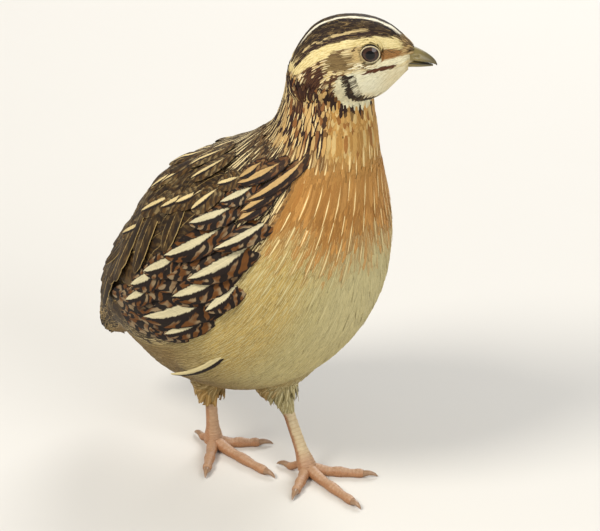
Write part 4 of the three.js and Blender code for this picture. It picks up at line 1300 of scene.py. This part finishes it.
def grained_material(name, scale, dark, pale, roughness, strength, distance):
    s = Shader(name)
    grain = s.noise(s.place(1000), scale, 3.0)
    return s.finish(s.mix(grain, dark, pale), roughness, grain, strength, distance)


def eyeball(side):
    """Points of one ball, and for each of them how far it lies off the pupil and its turn round it."""
    p, a = ball_angles(48, 64, 0.02)
    rear = p >= np.pi / 2
    # Past the lids the ball shrinks out of sight under them.
    r = EYE_RADIUS - 0.5 * smooth(0.7, 0.84, np.sin(p)) - 0.5 * (p > np.pi / 2) * smooth(1, 0.9, np.sin(p))
    local = np.stack([r * np.sin(p) * np.cos(a), side * r * np.cos(p), r * np.sin(p) * np.sin(a)], -1)
    marks = np.stack([np.sin(p) * ~rear + 2 * rear, a, np.zeros_like(a)], -1)
    return on_eye(local, side), ring_faces(*p.shape), marks.reshape(-1, 3)


def lid_ring(side, rows=72, sides=10):
    """A soft ring of lids, a little narrower above and below than in front and behind."""
    ring = []
    v = around(sides)[:, None]
    for u in around(rows):
        reach = LID_RADIUS + 0.08 * math.cos(2 * u)
        depth = math.sqrt(EYE_RADIUS**2 - reach**2) - 0.05
        centre = np.array([reach * math.cos(u), side * depth, reach * math.sin(u) * 0.97])
        outward = unit(np.array([math.cos(u), side * 0.9, math.sin(u)]))
        other = unit(np.cross(outward, np.array([-math.sin(u), 0, math.cos(u)])))
        size = 0.21 + 0.025 * math.sin(u * 22)
        ring.append(centre + outward * (size * np.cos(v)) + other * (size * np.sin(v)))
    k, j = np.meshgrid(np.arange(rows), np.arange(sides), indexing="ij")
    ahead, beside = (k + 1) % rows * sides, (j + 1) % sides
    quads = np.stack([k * sides + j, k * sides + beside, ahead + beside, ahead + j], -1).reshape(-1, 4)
    return on_eye(np.stack(ring), side), quads[:, ::side]


def add_eyes():
    looks = eye_material(), grained_material("lid", 2.2, "9c875e", "d2c39c", 0.6, 0.5, 0.0002)
    for name, side in SIDES:
        points, faces, marks = eyeball(side)
        settle(write_mesh("eyeball_" + name, points, faces, looks[0], vane=marks), "eye", "eye_" + name)
        settle(write_mesh("lids_" + name, *lid_ring(side), looks[1]), "eye")


add_eyes()

# Bill stations in the head's frame: x, z, half height, half width.
UPPER_BILL = np.array([
    (7, -4.2, 3.2, 2.6), (10.5, -4.3, 3.0, 2.35), (13.2, -4.8, 2.35, 1.95),
    (15.4, -5.4, 1.6, 1.35), (16.9, -6.1, 0.9, 0.75), (17.5, -6.7, 0.35, 0.35),
])
LOWER_BILL = np.array([
    (7, -5.2, 1.9, 2.3), (10.5, -5.3, 1.75, 2.05), (13.2, -5.7, 1.35, 1.65),
    (15.2, -6.1, 0.85, 1.05), (16.4, -6.55, 0.35, 0.4),
])
LIP = 0.12


def bill_material():
    s = Shader("bill")
    x, y, z = s.vector("vane")
    grain = s.noise((x * 0.4, y, z), 3.0, 4.0)
    colour = s.mix(s.step(9.0, 17.0, x), "8a7842", "4e452e")
    colour = s.mix(grain * 0.35, colour, "97874f")
    # The cutting edges are dark where the two halves meet.
    line = z + (x - 7.0) * 0.13
    colour = s.mix(s.step(0.28, 0.1, abs(line + 4.95)) * 0.85, colour, "1c1812")
    return s.finish(colour, 0.36, grain, 0.15, 0.0001)


def bill_half(table, roof, floor, sides=40, slices=48):
    x, z, tall, wide = spline(table, np.linspace(0, len(table) - 1, slices)).T
    a = around(sides, 0.5)
    share = np.where(np.cos(a) > 0, roof, floor)
    ridge = np.where(np.cos(a) > 0, 1 + 0.06 * np.cos(a) ** 8, 1)
    return head_rings(x, z, tall[:, None] * np.cos(a) * share * ridge, wide[:, None] * np.sin(a))


def add_bill():
    look = bill_material()
    upper, lower = bill_half(UPPER_BILL, 1, LIP), bill_half(LOWER_BILL, LIP, 1)
    # The nostril is a slit under a soft swelling.
    for _, side in SIDES:
        off = (upper - [11.5, side * 2.0, -3.0]) / [2.0, 1.4, 0.9]
        upper[..., 1] += side * 0.35 * np.exp(-(off**2).sum(-1) * 1.6)
        slit = (upper - [11.9, side * 2.3, -3.5]) / [1.2, 1.2, 0.3]
        upper[..., 1] -= side * 0.55 * np.exp(-((slit**2).sum(-1)) ** 2 * 1.2)
    for name, local in (("upper", upper), ("lower", lower)):
        points, faces = in_head(local).reshape(-1, 3), ring_faces(*local.shape[:2])
        piece = write_mesh(name + "_bill", points, faces, look, vane=local.reshape(-1, 3))
        settle(piece, "bill horn", "bill_" + name)


add_bill()


# Legs: scaled shanks and toes, and horn claws.
def leg_material():
    """Pink-brown skin. The front of the shank and the top of the toes carry pale plates."""
    s = Shader("leg_skin")
    front, reach, shank = s.vector("vane")
    spot = s.place(1000)
    grain = s.noise(spot, 0.8, 3.0)
    cells = s.value("ShaderNodeTexVoronoi", {"Vector": spot, "Scale": 1.4}, feature="DISTANCE_TO_EDGE")
    colour = s.mix(grain, "9c6a42", "b3855f")
    colour = s.mix(s.step(0.07, 0.0, cells), colour, "8f6340")
    plated = s.step(0.15, 0.6, front + (grain - 0.5) * 0.5)
    seam = s.step(0.8, 1.0, abs(s.maths("SINE", reach * 2.9)))
    plate = s.mix(shank, s.mix(grain, "a37d5b", "bd9a7b"), s.mix(grain, "bda478", "dccfa8"))
    plate = s.mix(seam * 0.22, plate, "8f6c48")
    colour = s.mix(plated * 0.8, colour, plate)
    return s.finish(colour, 0.5, s.step(0.0, 0.2, cells) - seam * plated, 0.3, 0.00015)


def foot_station(leg, toe, reach, z, r):
    turn = math.radians(leg["toes"][toe])
    return (leg["foot"][0] + math.cos(turn) * reach, leg["foot"][1] + math.sin(turn) * reach, z, r)


# Stations of toes and claws: share of the length, height and radius.
HIND_TOE = ((0, 3.6, 1.2), (0.45, 2.3, 1.05), (0.85, 1.05, 1.05), (1, 0.95, 0.95))
FRONT_TOE = (
    (0, 2.4, 1.7), (0.25, 1.5, TOE_RADIUS * 1.2), (0.42, 1.2, TOE_RADIUS), (0.58, 1.2, TOE_RADIUS * 1.15),
    (0.78, 1.0, TOE_RADIUS * 0.88), (0.92, 1.05, TOE_RADIUS), (1, 1.05, TOE_RADIUS * 0.8),
)
CLAW = ((-0.1, 1.05, 0.85), (0, 1.05, 0.9), (0.4, 1.3, 0.72), (0.8, 0.95, 0.42), (1.03, 0.4, 0.1))


def scutes(count, depth=0.07):
    """Overlapping scales on the upper side: each rises and drops to the next."""
    return lambda share, turn: 1 + depth * smooth(-0.1, 0.5, np.cos(turn)) * ((share * count) % 1.0 - 0.5)


def plate_marks(points, sides, facing, pale):
    """For each point of a tube: how far it turns to the plated side, its distance along the tube, and
    how pale its plates are, which fades to nothing at its foot."""
    row = points.reshape(-1, sides, 3)
    centre = row.mean(1)
    out = unit(row - centre[:, None]) @ np.asarray(facing, float)
    reach = np.concatenate([[0], np.cumsum(np.linalg.norm(np.diff(centre, axis=0), axis=1))])[:, None]
    marks = out, reach + 0 * out, pale * smooth(1.0, 6.0, reach) + 0 * out
    return np.stack(marks, -1).reshape(-1, 3)


def add_legs():
    skin_look = leg_material()
    claw_look = grained_material("claw_horn", 1.2, "7d5c44", "a98968", 0.35, 0.1, 0.0001)
    for name, leg in LEGS.items():
        shank = [
            shank_at(leg, -0.02, HUB_RADIUS), shank_at(leg, 0.08, HUB_RADIUS * 0.85),
            shank_at(leg, 0.2, SHANK_RADIUS * 1.1), shank_at(leg, 0.5, SHANK_RADIUS),
            shank_at(leg, leg["cuff"] + 0.12, SHANK_RADIUS * 1.05),
        ]
        ahead = math.radians(leg["toes"]["middle"])
        parts = [tube(shank, 24, 96, scutes(15), on_floor=True)]
        marks = [plate_marks(parts[0][0], 24, (math.cos(ahead), math.sin(ahead), 0), leg["pale"])]
        for toe, length in TOE_LENGTHS.items():
            table = HIND_TOE if toe == "hind" else FRONT_TOE
            stations = [foot_station(leg, toe, length * share, z, r) for share, z, r in table]
            parts.append(tube(stations, 20, int(length * 5), scutes(int(length / 1.3)), on_floor=True))
            marks.append(plate_marks(parts[-1][0], 20, (0, 0, 0.7), 0.0))
        piece = write_mesh("leg_" + name, *stacked(parts), skin_look, vane=np.concatenate(marks))
        settle(piece, "leg skin", "shank_" + name, *[f"toe_{name}_{toe}" for toe in TOE_LENGTHS])
        for toe, length in TOE_LENGTHS.items():
            root = length + 0.1
            stations = [foot_station(leg, toe, root + CLAW_LENGTH * share, z, r) for share, z, r in CLAW]
            claw = write_mesh(f"nail_{name}_{toe}", *tube(stations, 16, 24), claw_look)
            settle(claw, "claw horn", f"claw_{name}_{toe}")


add_legs()

# Floor and light.
FLOOR_HALF = 3.0
LIGHT_TARGET = Vector((0, 0, 0.07))
LIGHTS = (
    ("key", (-0.15, -0.75, 0.85), 0.45, 9.4, (1, 0.97, 0.92)),
    ("fill", (0.8, -0.15, 0.45), 0.6, 4.0, (0.95, 0.97, 1)),
    ("back", (-0.3, 0.7, 0.6), 0.5, 5, (1, 1, 1)),
)
SKY, SKY_STRENGTH = (0.9, 0.92, 0.95, 1), 0.45


def add_floor():
    s = Shader("floor")
    s.finish(s.mix(s.noise(s.place(), 40.0, 4.0) * 0.1, "d8d4cc", "cfcac0"), 0.9)
    mesh = bpy.data.meshes.new("floor")
    corners = [(x * FLOOR_HALF, y * FLOOR_HALF, 0) for x, y in ((-1, -1), (1, -1), (1, 1), (-1, 1))]
    mesh.from_pydata(corners, [], [(0, 1, 2, 3)])
    mesh.materials.append(s.material)
    add_object("floor", mesh)


def add_lights():
    for name, place, size, power, colour in LIGHTS:
        data = bpy.data.lights.new(name, "AREA")
        data.shape = "DISK"
        data.size = size
        data.energy = power
        data.color = colour
        light = add_object(name, data)
        light.location = place
        light.rotation_euler = (Vector(place) - LIGHT_TARGET).to_track_quat("Z", "Y").to_euler()
    world = bpy.data.worlds.new("studio")
    world.use_nodes = True
    background = world.node_tree.nodes["Background"]
    background.inputs[0].default_value = SKY
    background.inputs[1].default_value = SKY_STRENGTH
    bpy.context.scene.world = world
    bpy.context.scene.view_settings.view_transform = "Standard"


add_floor()
add_lights()
